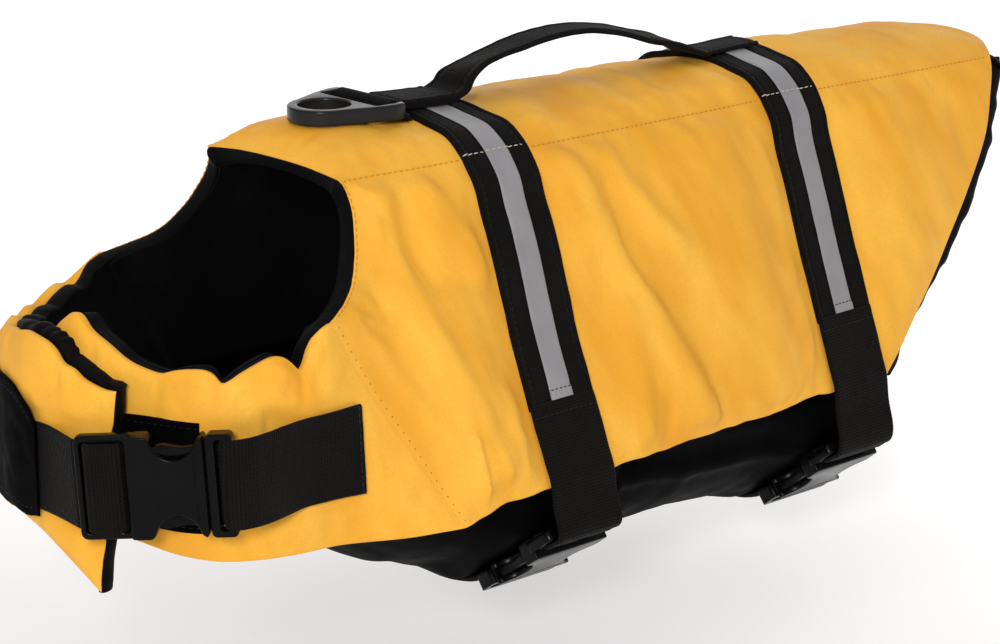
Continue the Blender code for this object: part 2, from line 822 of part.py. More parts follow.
def in_buckle(row, x, z):
    """(y, z) of a point given in a belly buckle's own axes."""
    _, by, bz, slope = row
    a = math.radians(slope)
    ex = np.array((-math.cos(a), math.sin(a)))
    ez = np.array((-math.sin(a), -math.cos(a)))
    return tuple(np.array((by, bz)) + ex * x + ez * z)


def side_drop(x, side):
    """Path of the lower webbing on the side, from the end of the upper band down."""
    path = []
    for z in (BAND_END_Z - 0.6, -134.0, -145.0, -155.0):
        p = side_cover(x, z, side, 2 * GAP)
        path.append((p[1], z if z == BAND_END_Z - 0.6 else p[2]))
    return path


def lower_left(name, x0, row):
    """From the end of the sewn band down over the hem and on to the adjuster."""

    def path(dx):
        skew = (half_width(x0 + dx, HEM_Z) - half_width(x0, HEM_Z)) * 0.7
        points = side_drop(x0 + dx, -1) + [(-half_width(x0, HEM_Z) - 1.6 - skew, -165.0)]
        points += [in_buckle(row, ADJUSTER_END["belly"] + 1.5, 8.2), in_buckle(row, 22.0, 8.0)]
        points += [in_buckle(row, 14.2, 7.8)]
        return smooth_path(points, 19)[::-1]

    return ribbon(name, path, x0, WEBBING_W, WEBBING_T)


def lower_right(name, x0, row):
    """From the right band down and under the belly to the plug."""

    def path(dx):
        skew = (half_width(x0 + dx, HEM_Z) - half_width(x0, HEM_Z)) * 0.7
        points = side_drop(x0 + dx, 1) + [(half_width(x0, HEM_Z) + skew, -165.0)]
        for q in (0.72, 0.58, 0.42, 0.25, 0.08, -0.08):
            p = belly_point(x0 + dx, q, 0.8)
            points.append((p[1], p[2]))
        points += [in_buckle(row, PLUG_END - 4.0, 1.3), in_buckle(row, -27.0, 1.8)]
        return smooth_path(points, 27)

    return ribbon(name, path, x0, WEBBING_W, WEBBING_T)


# ---- buckles ----------------------------------------------------------------------
def box(name, lo, hi, coll=cutters):
    """A box primitive between two corners in mm, in a local frame."""
    bm = bmesh.new()
    bmesh.ops.create_cube(bm, size=1.0)
    for v in bm.verts:
        v.co = Vector([(lo[k] + (hi[k] - lo[k]) * (v.co[k] + 0.5)) * MM for k in range(3)])
    mesh = bpy.data.meshes.new(name)
    bm.to_mesh(mesh)
    bm.free()
    obj = bpy.data.objects.new(name, mesh)
    coll.objects.link(obj)
    return obj


def disc(name, centre, radius, z0, z1, segments=28, coll=cutters):
    bm = bmesh.new()
    bmesh.ops.create_cone(
        bm,
        cap_ends=True,
        segments=segments,
        radius1=radius * MM,
        radius2=radius * MM,
        depth=(z1 - z0) * MM,
        matrix=Matrix.Translation(Vector((centre[0], centre[1], (z0 + z1) / 2)) * MM),
    )
    mesh = bpy.data.meshes.new(name)
    bm.to_mesh(mesh)
    bm.free()
    obj = bpy.data.objects.new(name, mesh)
    coll.objects.link(obj)
    return obj


def as_cutter(obj, parent):
    obj.hide_render = True
    obj.display_type = "WIRE"
    obj.parent = parent
    return obj


def bevelled(obj, width, segments=2, limit=40):
    mod = obj.modifiers.new("edge", "BEVEL")
    mod.width = width * MM
    mod.segments = segments
    mod.limit_method = "ANGLE"
    mod.angle_limit = math.radians(limit)
    return mod


def boolean(obj, other, operation="DIFFERENCE"):
    mod = obj.modifiers.new(operation.lower(), "BOOLEAN")
    mod.operation = operation
    mod.object = other
    mod.solver = "EXACT"
    return mod


def outline(name, loops, thick, z_mid, mat, parent):
    """Flat plate from closed outlines in mm; loops after the first are holes."""
    curve = bpy.data.curves.new(name, "CURVE")
    curve.dimensions = "2D"
    curve.fill_mode = "BOTH"
    curve.extrude = thick / 2 * MM
    for loop in loops:
        spline = curve.splines.new("POLY")
        spline.points.add(len(loop) - 1)
        for p, (x, y) in zip(spline.points, loop):
            p.co = (x * MM, y * MM, 0.0, 1.0)
        spline.use_cyclic_u = True
    tmp = bpy.data.objects.new(name + "_outline", curve)
    scene.collection.objects.link(tmp)
    graph = bpy.context.evaluated_depsgraph_get()
    mesh = bpy.data.meshes.new_from_object(tmp.evaluated_get(graph))
    bpy.data.objects.remove(tmp, do_unlink=True)
    bm = bmesh.new()
    bm.from_mesh(mesh)
    bmesh.ops.remove_doubles(bm, verts=bm.verts[:], dist=1e-6)
    bmesh.ops.translate(bm, verts=bm.verts[:], vec=(0, 0, z_mid * MM))
    recalc(bm)
    bm.to_mesh(mesh)
    bm.free()
    mesh.name = name
    return new_object(name, mesh, mat, parent)


def rounded_rect(x0, x1, y0, y1, r, n=4):
    pts = []
    for cx, cy, a0 in ((x1 - r, y1 - r, 0), (x0 + r, y1 - r, 90), (x0 + r, y0 + r, 180), (x1 - r, y0 + r, 270)):
        for k in range(n + 1):
            a = math.radians(a0 + 90 * k / n)
            pts.append((cx + r * math.cos(a), cy + r * math.sin(a)))
    return pts


def buckle(prefix, matrix, kind):
    """Side-release buckle for 38 mm webbing. Local X runs from the plug at -X to the
    two-slot adjuster at +X, and Z is 0 at the back and BUCKLE_T at the front."""
    holder = bpy.data.objects.new(prefix + "_axis", None)
    parts.objects.link(holder)
    holder.parent = root
    holder.matrix_local = matrix
    w = BUCKLE_W / 2
    x0, x1 = BODY_X
    end = ADJUSTER_END[kind]
    # Socket: a hollow body with a finger notch each side, and the adjuster frame.
    socket = box(prefix + "_socket", (x0, -w, 0.6), (x1, w, BUCKLE_T), parts)
    socket.data.materials.append(PLASTIC)
    socket.parent = holder
    bevelled(socket, 2.0, 3, 60)
    cavity = as_cutter(box(prefix + "_cavity", (x0 - 1.0, -19.4, 3.2), (x1 - 5.0, 19.4, 8.8)), holder)
    boolean(socket, cavity)
    for side in (-1, 1):
        notch = as_cutter(
            disc(f"{prefix}_notch_{side}", (x0 + 13.0, side * (w + 1.8)), 11.0, -1.0, BUCKLE_T + 1.0), holder
        )
        boolean(socket, notch)
    frame = as_cutter(box(prefix + "_adjuster", (x1 - 3.0, -w - 0.5, 2.4), (end, w + 0.5, 7.2)), holder)
    bevelled(frame, 1.6, 2, 60)
    boolean(socket, frame, "UNION")
    for k, (s0, s1) in enumerate(((x1 + 1.6, x1 + 4.8), (end - 5.6, end - 2.4))):
        slot = as_cutter(box(f"{prefix}_slot_{k}", (s0, -20.1, -1.0), (s1, 20.1, BUCKLE_T + 1.0)), holder)
        boolean(socket, slot)
    # Plug: a slotted frame with two sprung prongs and a middle tongue.
    back = x0 - 0.5
    half = [
        (PLUG_END + 2.0, w),
        (back - 2.0, w),
        (back, w - 1.6),
        (back, 18.8),
        (-14.0, 18.6),
        (-7.0, 18.8),
        (-1.0, 18.0),
        (4.0, 15.0),
        (6.0, 12.5),
        (4.0, 11.2),
        (0.0, 13.0),
        (-8.0, 13.6),
        (-17.0, 13.2),
        (back, 11.6),
        (back, 3.4),
        (2.0, 2.6),
    ]
    half.insert(0, (PLUG_END, w - 2.0))
    loop = half + [(x, -y) for x, y in reversed(half)]
    slot = [(PLUG_END + 3.6, -20.0), (PLUG_END + 3.6, 20.0), (back - 4.0, 20.0), (back - 4.0, -20.0)]
    plug = outline(prefix + "_plug", [loop, slot], 4.2, 6.0, PLASTIC, holder)
    bevelled(plug, 0.5, 1, 60)
    return holder


# ---- neck closure -----------------------------------------------------------------
NECK_BUCKLE_PHI = 48.5  # degrees round the ring from its widest point
NECK_BUCKLE_R = 89.6  # distance of its back face from the ring's centre
NECK_BUCKLE_Z = -122.5
NECK_BUCKLE_TILT = 3.5
NECK_STRAP_Z = {-1: -120.7, 1: -125.0}  # left and right strap, mid height


def neck_buckle_matrix():
    phi = math.radians(NECK_BUCKLE_PHI)
    ez = Vector((-math.sin(phi), -math.cos(phi), 0.0))
    ex = Vector((-math.cos(phi), math.sin(phi), 0.0))  # towards the adjuster, at the front
    ey = ez.cross(ex)
    m = Matrix((ex, ey, ez)).transposed().to_4x4()
    centre = Vector((RING_X, 0.0, NECK_BUCKLE_Z)) + ez * NECK_BUCKLE_R
    m.translation = centre * MM
    return m @ Matrix.Rotation(math.radians(NECK_BUCKLE_TILT), 4, "Z")


def upright(name, path, thick=WEBBING_T):
    """Webbing on edge: path(h) gives its points at a height h off its middle line,
    and the thickness goes outwards."""
    heights = [-WEBBING_W / 2, 0.0, WEBBING_W / 2]
    lines = {h: path(h) for h in heights}
    count = len(lines[0.0])
    return sheet(name, lambda h, k: lines[h][int(k)], heights, list(range(count)), thick, WEBBING)


def in_neck_buckle(x, h, z):
    p = neck_buckle_matrix() @ (Vector((x, -h, z)) * MM)
    return tuple(p / MM)


def neck_strap_left():
    def path(h):
        points = [tuple(band(a, NECK_STRAP_Z[-1] + h, -1, 2 * GAP)) for a in (-19.0, -8.0, 2.0, 12.0, 20.0)]
        points += [in_neck_buckle(PLUG_END - 4.0, h, 0.9), in_neck_buckle(-27.0, h, 1.8)]
        return smooth_path(points, 13)

    return upright("neck_strap_left", path)


# Way of the webbing through the adjuster, in the buckle's (x, z): over the middle bar,
# down the outer slot and out under the end bar.
THREADING = (
    (18.2, 7.7),
    (22.0, 8.0),
    (27.0, 8.0),
    (28.7, 7.9),
    (29.9, 6.8),
    (30.05, 5.0),
    (30.1, 3.0),
    (31.0, 0.9),
    (33.4, 0.4),
    (36.0, 0.3),
)


def neck_strap_right():
    def path(h):
        threaded = [in_neck_buckle(x, h, z) for x, z in THREADING]
        points = threaded[-1:]
        for a in (140.0, 130.0, 118.0, 104.0, 88.0, 70.0, 56.0, 42.0, 28.0, 14.0, 0.0, -12.0):
            points.append(tuple(band(a, NECK_STRAP_Z[1] + h, 1, 2 * GAP)))
        return [np.array(p) for p in threaded[:-1]] + list(smooth_path(points, 24))

    return upright("neck_strap_right", path)


def neck_patch_right():
    """Wide patch sewn over the far end of the right neck strap."""
    return sheet(
        "neck_patch_right",
        lambda a, h: band(a, NECK_STRAP_Z[1] + 3.0 + h, 1, 2 * GAP + WEBBING_T + 2 * GAP),
        [-14.0, 0.0, 14.0, 28.0, 42.0, 56.0, 70.0, 84.0, 98.0, 110.0, 122.0, 135.0],
        [-26.0, 0.0, 29.0],
        1.4,
        WEBBING,
    )


def neck_loop_patch():
    return sheet(
        "neck_loop_patch",
        lambda a, h: band(a, NECK_STRAP_Z[-1] - 2.5 + h, -1, 2 * GAP),
        [56.0, 62.0, 68.0, 74.0, 80.0, 86.0, 92.0, 96.0],
        [24.5, 8.0, -8.0, -24.5],
        1.8,
        WEBBING,
    )


# ---- handle -----------------------------------------------------------------------
def handle():
    lift = GAP + BAND_T + GAP + TAPE_T + GAP
    rows = []
    for x in (-19.8, -13.0, -6.0, 3.0, 11.0):
        rows.append((x, top_z(x, 0.0) + lift + 0.1, 0.0, 25.0))
    rows += [r for r in HANDLE[1:-1]]
    for x in (178.0, 184.0, 192.0, 201.0, 210.0, 218.0):
        rows.append((x, top_z(x, 0.0) + lift + 0.1, 0.0, 25.0))
    xs, zs, tilts, widths = (np.array(c) for c in zip(*rows))
    run = np.concatenate([[0], np.cumsum(np.hypot(np.diff(xs), np.diff(zs)))])
    across = [-1.0, -0.5, 0.0, 0.5, 1.0]

    def surface(k, w):
        d = run[-1] * k
        x, z = (through(list(zip(run, c)), d) for c in (xs, zs))
        tilt = math.radians(through(list(zip(run, tilts)), d))
        half = through(list(zip(run, widths)), d) / 2
        on_back = x < 14.0 or x > 178.0
        y, dz = w * half * math.cos(tilt), -w * half * math.sin(tilt)
        if on_back:
            return np.array((x, y, z + top_z(x, y) - top_z(x, 0.0)))
        return np.array((x, y, z + dz))

    ks = np.linspace(0, 1, 37).tolist()
    return sheet("handle", surface, ks, across, HANDLE_T, WEBBING)


# ---- lead ring --------------------------------------------------------------------
def ring_outline():
    """Round lead eye that widens to the pivot bar: outer edge, eye and slot."""
    cx, r = RING_HOLE_X, RING_TIP_R
    rear = RING_BAR_X + 3.2
    left = [(rear - 3.0, RING_HALF_W), (rear - 9.0, RING_HALF_W), (-47.0, 20.9)]
    arc = []
    for k in range(17):
        a = math.radians(107 + (253 - 107) * k / 16)
        arc.append((cx + r * math.cos(a), r * math.sin(a)))
    right = [(x, -y) for x, y in reversed(left)]
    corner = [(rear, RING_HALF_W - 3.0)]
    outer = corner + left + arc + right + [(rear, -RING_HALF_W + 3.0)]
    eye = [
        (cx + RING_HOLE_R * math.cos(2 * math.pi * k / 28), RING_HOLE_R * math.sin(2 * math.pi * k / 28))
        for k in range(28)
    ]
    slot = [(RING_BAR_X - RING_BAR_T / 2, 0.0)]
    return outer, eye, slot


def lead_ring():
    """The eye and its rails are one plate, and the thinner pivot bar joins them."""
    pivot = bpy.data.objects.new("d_ring_pivot", None)
    parts.objects.link(pivot)
    pivot.parent = root
    pivot.location = Vector((RING_BAR_X, 0.0, RING_Z)) * MM
    outer, eye, slot = ([(x - RING_BAR_X, y) for x, y in loop] for loop in ring_outline())
    ring = outline("d_ring", [outer, eye], RING_T, 0.0, PLASTIC, pivot)
    bevelled(ring, 1.3, 2, 60)
    inner = RING_HALF_W - RING_RAIL
    window = box("d_ring_window", (slot[0][0] - 8.0, -inner, -9.0), (9.0, inner, 9.0))
    boolean(ring, as_cutter(window, pivot))
    bar = box("d_ring_bar", (-RING_BAR_T / 2, -inner - 2.0, -RING_BAR_T / 2), (RING_BAR_T / 2, inner + 2.0, RING_BAR_T / 2))
    bevelled(bar, 0.9, 2, 60)
    boolean(ring, as_cutter(bar, pivot), "UNION")
    return pivot


def ring_loop():
    """Band of webbing round the ring's bar, its two tails sewn together."""
    r_in = 3.0
    r_out = r_in + WEBBING_T
    tail_x = -20.4
    tail_top = top_z(-22.0, 0.0) + GAP + 2 * WEBBING_T + 0.6
    tail_low = top_z(-22.0, 0.0) + GAP + 0.35
    section_pts = [(tail_x, tail_top)]
    for k in range(15):
        a = math.radians(50 + (310 - 50) * k / 14)
        section_pts.append((RING_BAR_X + r_out * math.cos(a), RING_Z + r_out * math.sin(a)))
    section_pts.append((tail_x, tail_low))
    rings = []
    for f in (-1.0, -0.5, 0.0, 0.5, 1.0):
        y = f * LOOP_W / 2
        drop = top_z(-25.0, y) - top_z(-25.0, 0.0)
        ring = []
        for x, z in section_pts:
            w = smoothstep((x - (RING_BAR_X + 4.5)) / 4.0)
            ring.append((x, y, z + drop * w))
        rings.append(ring)
    loop = loft("d_ring_loop", rings, WEBBING)
    eye = as_cutter(disc("d_ring_loop_eye", (0.0, 0.0), r_in, -LOOP_W, LOOP_W, 24), root)
    eye.location = Vector((RING_BAR_X, 0.0, RING_Z)) * MM
    eye.rotation_euler = (math.pi / 2, 0.0, 0.0)
    boolean(loop, eye)
    return loop


# ---- build ------------------------------------------------------------------------
back_panel()
side_panel("side_panel_left", -1)
side_panel("side_panel_right", 1)
neck_band("neck_band_left", -1)
neck_band("neck_band_right", 1)
body_lining()
band_lining_left()
band_lining_right()
belly_panel()
for label, strap_x, row in (
    ("front", STRAP_X[0], BELLY_BUCKLES[0]),
    ("rear", STRAP_X[1], BELLY_BUCKLES[1]),
):
    strap_band(f"strap_{label}_band", strap_x)
    strap_tape(f"reflector_{label}", strap_x)
    lower_left(f"strap_{label}_lower_left", strap_x, row)
    lower_right(f"strap_{label}_lower_right", strap_x, row)
    buckle(f"buckle_{label}", buckle_frame(*row), "belly")
neck_strap_left()
neck_strap_right()
neck_patch_right()
neck_loop_patch()
buckle("buckle_neck", neck_buckle_matrix(), "neck")
handle()
lead_ring()
ring_loop()
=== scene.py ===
import math

import bmesh
import bpy
import numpy as np
from mathutils import Matrix, Vector


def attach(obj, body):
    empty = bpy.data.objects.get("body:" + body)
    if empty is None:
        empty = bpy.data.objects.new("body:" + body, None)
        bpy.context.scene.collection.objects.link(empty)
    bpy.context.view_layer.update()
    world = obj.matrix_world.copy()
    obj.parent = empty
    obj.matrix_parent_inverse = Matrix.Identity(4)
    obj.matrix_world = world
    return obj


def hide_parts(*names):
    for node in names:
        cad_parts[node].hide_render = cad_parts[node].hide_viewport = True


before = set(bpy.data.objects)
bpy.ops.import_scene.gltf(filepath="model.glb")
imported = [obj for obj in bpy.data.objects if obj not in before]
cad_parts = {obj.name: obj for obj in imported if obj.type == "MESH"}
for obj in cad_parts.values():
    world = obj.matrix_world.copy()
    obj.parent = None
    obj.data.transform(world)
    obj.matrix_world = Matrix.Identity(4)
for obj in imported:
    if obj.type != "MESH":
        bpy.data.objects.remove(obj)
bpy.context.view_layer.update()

scene = bpy.context.scene

MM = 0.001

# ---- driving dimensions, mm -------------------------------------------------------
GAP = 0.3  # between touching pieces
PAD_T = 8.0  # foam panel, cover to cover
PAD_EDGE_T = 2.6  # foam panel where it is stitched down
PAD_EDGE_DIP = 1.0  # the cover drops this much at its stitched edge
EDGE_RAMP = 8.0  # width of the stitched-down border
LINING_T = 1.5
LINING_GAP = 1.3  # lining to foam; the cloth hangs clear of it
BELLY_T = 2.2
WEBBING_W = 39.0
WEBBING_T = 1.6
BAND_T = 2.4  # webbing with its sewn backing, over the back
TAPE_W = 13.0  # reflective tape
TAPE_T = 0.6
STRAP_X = (2.5, 202.5)  # front and rear strap
HANDLE_T = 2.4
RING_R = 85.0  # radius of the neck ring, outside
RING_X = -130.0  # its centre
BAND_INSET = -11.6  # the left band tucks under
BAND_PROUD = 1.5  # the right band laps over
WEARER = (100.0, 0.0, -15.4)  # world origin in pattern coordinates

# One row for each section across the body. y0 to y4 are the half widths at the top
# seam, at a quarter, half and three quarters of the drop, and at the hem line.
SECTION_COLUMNS = ("x", "z_seam", "z_hem", "y0", "y1", "y2", "y3", "y4")
SECTIONS = (
    (-174.0, -13.6, -158.0, 47.0, 63.0, 78.0, 91.0, 98.0),
    (-130.0, -13.0, -160.0, 60.0, 79.0, 84.5, 85.0, 85.0),
    (-86.0, -13.6, -158.0, 47.0, 63.0, 78.0, 91.0, 98.0),
    (-45.0, -14.3, -157.5, 47.5, 65.5, 79.0, 92.5, 105.0),
    (0.0, -15.0, -157.0, 48.0, 65.5, 77.3, 91.0, 106.5),
    (60.0, -16.0, -156.0, 47.0, 65.5, 79.0, 92.0, 104.0),
    (140.0, -17.2, -156.0, 45.0, 63.0, 76.0, 88.5, 99.5),
    (200.0, -18.0, -156.0, 43.5, 57.5, 69.5, 82.5, 95.0),
    (270.0, -19.3, -156.0, 44.0, 58.5, 71.0, 83.5, 95.0),
    (360.0, -20.5, -156.0, 44.0, 56.5, 68.5, 82.0, 95.0),
)
# Height of the top centre over the top seams.
CROWN_COLUMNS = ("x", "rise")
CROWN = (
    (-86.0, 4.5),
    (-75.0, 11.5),
    (-60.0, 14.3),
    (-35.0, 13.8),
    (0.0, 12.3),
    (60.0, 12.0),
    (130.0, 12.0),
    (200.0, 13.2),
    (280.0, 15.5),
    (340.0, 12.5),
    (362.0, 9.5),
)
# Rear edge of a side panel, from the top seam down to its tip.
TAIL_COLUMNS = ("z", "x")
TAIL_EDGE = (
    (-20.5, 358.0),
    (-28.0, 357.5),
    (-39.0, 352.0),
    (-57.0, 341.0),
    (-83.0, 314.5),
    (-100.0, 294.0),
    (-121.0, 269.0),
    (-131.0, 256.5),
    (-147.0, 237.5),
    (-156.0, 225.0),
)
# Neck edge of a side panel, from the top seam down to the chest seam.
NECK_COLUMNS = ("z", "x")
NECK_EDGE = (
    (-13.6, -86.0),
    (-20.0, -84.0),
    (-27.0, -84.0),
    (-34.0, -86.0),
    (-45.0, -91.0),
    (-56.0, -101.0),
    (-61.0, -112.5),
    (-64.0, -122.0),
)
# Lower edge of a side panel.
HEM_COLUMNS = ("x", "z")
HEM = (
    (-66.0, -163.5),
    (-57.0, -162.0),
    (-45.0, -158.5),
    (-30.0, -156.5),
    (0.0, -156.0),
    (100.0, -155.5),
    (225.0, -156.0),
)
CHEST_SEAM = ((-122.0, -64.0), (-66.0, -163.5))  # x, z of its two ends
# Upper and lower edge of a neck band, along the ring. a = 0 is the ring's widest
# point and a grows towards the front of the chest.
BAND_TOP_COLUMNS = ("a", "z_right", "z_left")
BAND_TOP = (
    (-8.0, -64.0, -64.0),
    (6.0, -71.0, -70.5),
    (20.0, -74.0, -74.0),
    (37.0, -78.0, -77.0),
    (54.0, -79.0, -77.5),
    (70.0, -77.5, -79.0),
    (85.0, -75.5, -79.0),
    (100.0, -73.0, -73.5),
    (112.0, -70.5, -68.0),
    (128.0, -69.5, -60.5),
    (138.0, -72.5, -64.5),
    (150.0, -79.0, -73.0),
    (175.0, -86.5, -87.0),
)
BAND_BOTTOM_COLUMNS = ("a", "z_right", "z_left")
BAND_BOTTOM = (
    (-64.0, -163.5, -163.5),
    (-30.0, -163.5, -163.5),
    (0.0, -162.5, -162.5),
    (50.0, -161.0, -161.0),
    (75.0, -159.0, -159.0),
    (94.0, -155.5, -155.5),
    (107.0, -152.5, -152.5),
    (121.0, -153.5, -150.5),
    (132.0, -156.0, -150.0),
    (144.5, -162.0, -150.5),
    (155.0, -169.0, -151.5),
    (165.0, -177.0, -153.0),
)
BAND_END_A = (175.0, 165.0)  # the ends of the two tables above
# Depth of the belly below the hem line.
BELLY_COLUMNS = ("x", "drop")
BELLY = (
    (-112.0, 8.0),
    (-92.0, 24.0),
    (-72.0, 38.0),
    (-50.0, 48.0),
    (-20.0, 57.0),
    (60.0, 61.0),
    (130.0, 64.0),
    (200.0, 66.0),
    (232.0, 58.0),
)
BELLY_X = (-110.0, 231.0)
BELLY_TOP_Z = -128.0  # it reaches this high inside the sides
BAND_END_Z = -123.5  # where the upper band stops on the side
TAPE_END_Z = -121.5
# Handle: height of its underside over the pattern origin, and its tilt.
HANDLE_COLUMNS = ("x", "z", "tilt_deg", "width")
HANDLE = (
    (18.0, 2.6, 0.0, 25.0),
    (21.0, 4.2, 0.0, 25.0),
    (24.5, 8.4, 4.0, 25.0),
    (31.0, 11.6, 9.0, 24.0),
    (42.0, 14.4, 9.0, 22.5),
    (60.0, 18.0, 2.0, 20.0),
    (84.0, 20.3, 0.0, 18.5),
    (103.0, 19.9, -1.0, 18.0),
    (124.0, 16.0, -5.0, 18.0),
    (144.0, 10.3, -9.0, 19.0),
    (160.0, 6.2, -6.0, 21.0),
    (176.0, 3.4, 0.0, 24.0),
)
# Lead ring.
RING_HOLE_X, RING_HOLE_R = -57.0, 10.8
RING_TIP_R = 16.0
RING_BAR_X = -30.6
RING_HALF_W = 24.3
RING_RAIL = 4.6
RING_T = 7.2
RING_BAR_T = 3.8
RING_Z = 4.6
LOOP_W = 38.0

# Neck closure and buckles, mm and degrees, in the same places as the frame's.
NECK_BUCKLE_PHI = 48.5
NECK_BUCKLE_R = 89.6
NECK_BUCKLE_Z = -122.5
NECK_BUCKLE_TILT = 3.5
NECK_STRAP_Z = {-1: -120.7, 1: -125.0}
BELLY_BUCKLES = (
    (STRAP_X[0], -84.3, -188.8, 37.0),
    (STRAP_X[1], -73.4, -196.1, 39.0),
)
BUCKLE_W, BUCKLE_T = 45.0, 11.0
BODY_X = (-20.5, 12.5)
ADJUSTER_END = {"neck": 35.0, "belly": 26.0}
PLUG_END = -32.5
THREADING = (
    (18.2, 7.7),
    (22.0, 8.0),
    (27.0, 8.0),
    (28.7, 7.9),
    (29.9, 6.8),
    (30.05, 5.0),
    (30.1, 3.0),
    (31.0, 0.9),
    (33.4, 0.4),
    (36.0, 0.3),
)


# ---- curves through the tables, on whole arrays ------------------------------------
def through(rows, x, col=1):
    """Smooth value of a table's column at x: a cubic through the rows."""
    table = np.array(rows, float)
    xs, ys = table[:, 0], table[:, col]
    if xs[0] > xs[-1]:
        xs, ys = xs[::-1], ys[::-1]
    slope = np.diff(ys) / np.diff(xs)
    m = np.concatenate([slope[:1], 0.5 * (slope[:-1] + slope[1:]), slope[-1:]])
    x = np.asarray(x, float)
    i = np.clip(np.searchsorted(xs, x, side="right") - 1, 0, len(xs) - 2)
    h = xs[i + 1] - xs[i]
    t = np.clip((x - xs[i]) / h, 0.0, 1.0)
    out = (
        (2 * t**3 - 3 * t**2 + 1) * ys[i]
        + (t**3 - 2 * t**2 + t) * m[i] * h
        + (3 * t**2 - 2 * t**3) * ys[i + 1]
        + (t**3 - t**2) * m[i + 1] * h
    )
    out = np.where(x < xs[0], ys[0] + slope[0] * (x - xs[0]), out)
    return np.where(x > xs[-1], ys[-1] + slope[-1] * (x - xs[-1]), out)


def smoothstep(t):
    t = np.clip(t, 0.0, 1.0)
    return t * t * (3 - 2 * t)


def half_width(x, z):
    """Half width of the cover at a station and height."""
    x, z = np.broadcast_arrays(np.asarray(x, float), np.asarray(z, float))
    z_seam, z_hem = through(SECTIONS, x, 1), through(SECTIONS, x, 2)
    y = np.stack([through(SECTIONS, x, k) for k in range(3, 8)])
    t = (z - z_seam) / (z_hem - z_seam)
    m = np.concatenate([y[1:2] - y[:1], 0.5 * (y[2:] - y[:-2]), y[4:] - y[3:4]])
    k = np.clip(np.floor(t * 4), 0, 3).astype(int)
    f = np.clip(t * 4 - k, 0.0, 1.0)
    pick = lambda table, n: np.take_along_axis(table, n[None], 0)[0]
    out = (
        (2 * f**3 - 3 * f**2 + 1) * pick(y, k)
        + (f**3 - 2 * f**2 + f) * pick(m, k)
        + (3 * f**2 - 2 * f**3) * pick(y, k + 1)
        + (f**3 - f**2) * pick(m, k + 1)
    )
    out = np.where(t < 0, y[0] + m[0] * t * 4, out)
    return np.where(t > 1, y[4] + m[4] * (t - 1) * 4, out)


def top_z(x, y):
    y0 = through(SECTIONS, x, 3)
    return through(SECTIONS, x, 1) + through(CROWN, x) * (1 - np.minimum(1.0, np.abs(y) / y0) ** 2.2)


def stack(*parts):
    return np.stack(np.broadcast_arrays(*parts), axis=-1)


def cover_point(x, s):
    """Point of the cover. s runs round the section: 0 top centre, 1 the right top
    seam, 2 the right hem line, and the same with a minus sign on the left."""
    x, s = np.broadcast_arrays(np.asarray(x, float), np.asarray(s, float))
    side, d = np.where(s < 0, -1.0, 1.0), np.abs(s)
    z_seam, z_hem, y0 = (through(SECTIONS, x, k) for k in (1, 2, 3))
    z_low = z_seam + (z_hem - z_seam) * (d - 1)
    y_top = np.minimum(d, 1.0) * y0
    y = np.where(d <= 1, y_top, half_width(x, z_low))
    z = np.where(d <= 1, top_z(x, y_top), z_low)
    return stack(x, side * y, z)


TOP_RUN, SIDE_RUN = 50.0, 153.0  # arc length of s = 0..1 and 1..2


def along(s, d):
    """s moved by d mm round the section."""
    s = np.asarray(s, float)
    run = np.where(np.abs(s) <= 1, s * TOP_RUN, np.sign(s) * (TOP_RUN + (np.abs(s) - 1) * SIDE_RUN)) + d
    return np.where(np.abs(run) <= TOP_RUN, run / TOP_RUN, np.sign(run) * (1 + (np.abs(run) - TOP_RUN) / SIDE_RUN))


def unit(n):
    return n / np.linalg.norm(n, axis=-1, keepdims=True)


def cover_normal(x, s):
    across = cover_point(x, along(s, 6.0)) - cover_point(x, along(s, -6.0))
    ahead = cover_point(x + 4.0, s) - cover_point(x - 4.0, s)
    return unit(np.cross(ahead, across))


def lifted(point, normal, lift):
    return point + np.asarray(lift, float)[..., None] * normal


def cover(x, s, lift=0.0):
    x, s = np.asarray(x, float), np.asarray(s, float)
    return lifted(cover_point(x, s), cover_normal(x, s), lift)


def s_at(x, z, side):
    z_seam, z_hem = through(SECTIONS, x, 1), through(SECTIONS, x, 2)
    return side * (1 + (z - z_seam) / (z_hem - z_seam))


def side_cover(x, z, side, lift=0.0):
    return cover(x, s_at(x, z, side), lift)


def band_swell(a, side):
    """The left band runs inside the right one where they cross on the chest."""
    return smoothstep((a - 42.0) / 48.0) * (BAND_PROUD if side > 0 else BAND_INSET)


def band_point(a, z, side):
    a, z = np.broadcast_arrays(np.asarray(a, float), np.asarray(z, float))
    flank = cover_point(RING_X - a, s_at(RING_X - a, z, side))
    phi = a / RING_R
    r = half_width(RING_X, z) + band_swell(a, side)
    ring = stack(RING_X - r * np.sin(phi), side * r * np.cos(phi), z)
    return np.where((a <= 0)[..., None], flank, ring)


def band_normal(a, z, side):
    a, z = np.broadcast_arrays(np.asarray(a, float), np.asarray(z, float))
    flank = cover_normal(RING_X - a, s_at(RING_X - a, z, side))
    ahead = band_point(a + 3.0, z, side) - band_point(np.maximum(a - 3.0, 0.0), z, side)
    down = band_point(a, z - 4.0, side) - band_point(a, z + 4.0, side)
    ring = unit(np.cross(down, ahead) * side)
    joint = cover_normal(np.full_like(a, RING_X), s_at(RING_X, z, side))
    w = smoothstep(a / 12.0)[..., None]
    return unit(np.where((a <= 0)[..., None], flank, ring * w + joint * (1 - w)))


def band(a, z, side, lift=0.0):
    return lifted(band_point(a, z, side), band_normal(a, z, side), lift)


def chest_seam_x(z):
    (x0, z0), (x1, z1) = CHEST_SEAM
    return x0 + (x1 - x0) * (z - z0) / (z1 - z0)



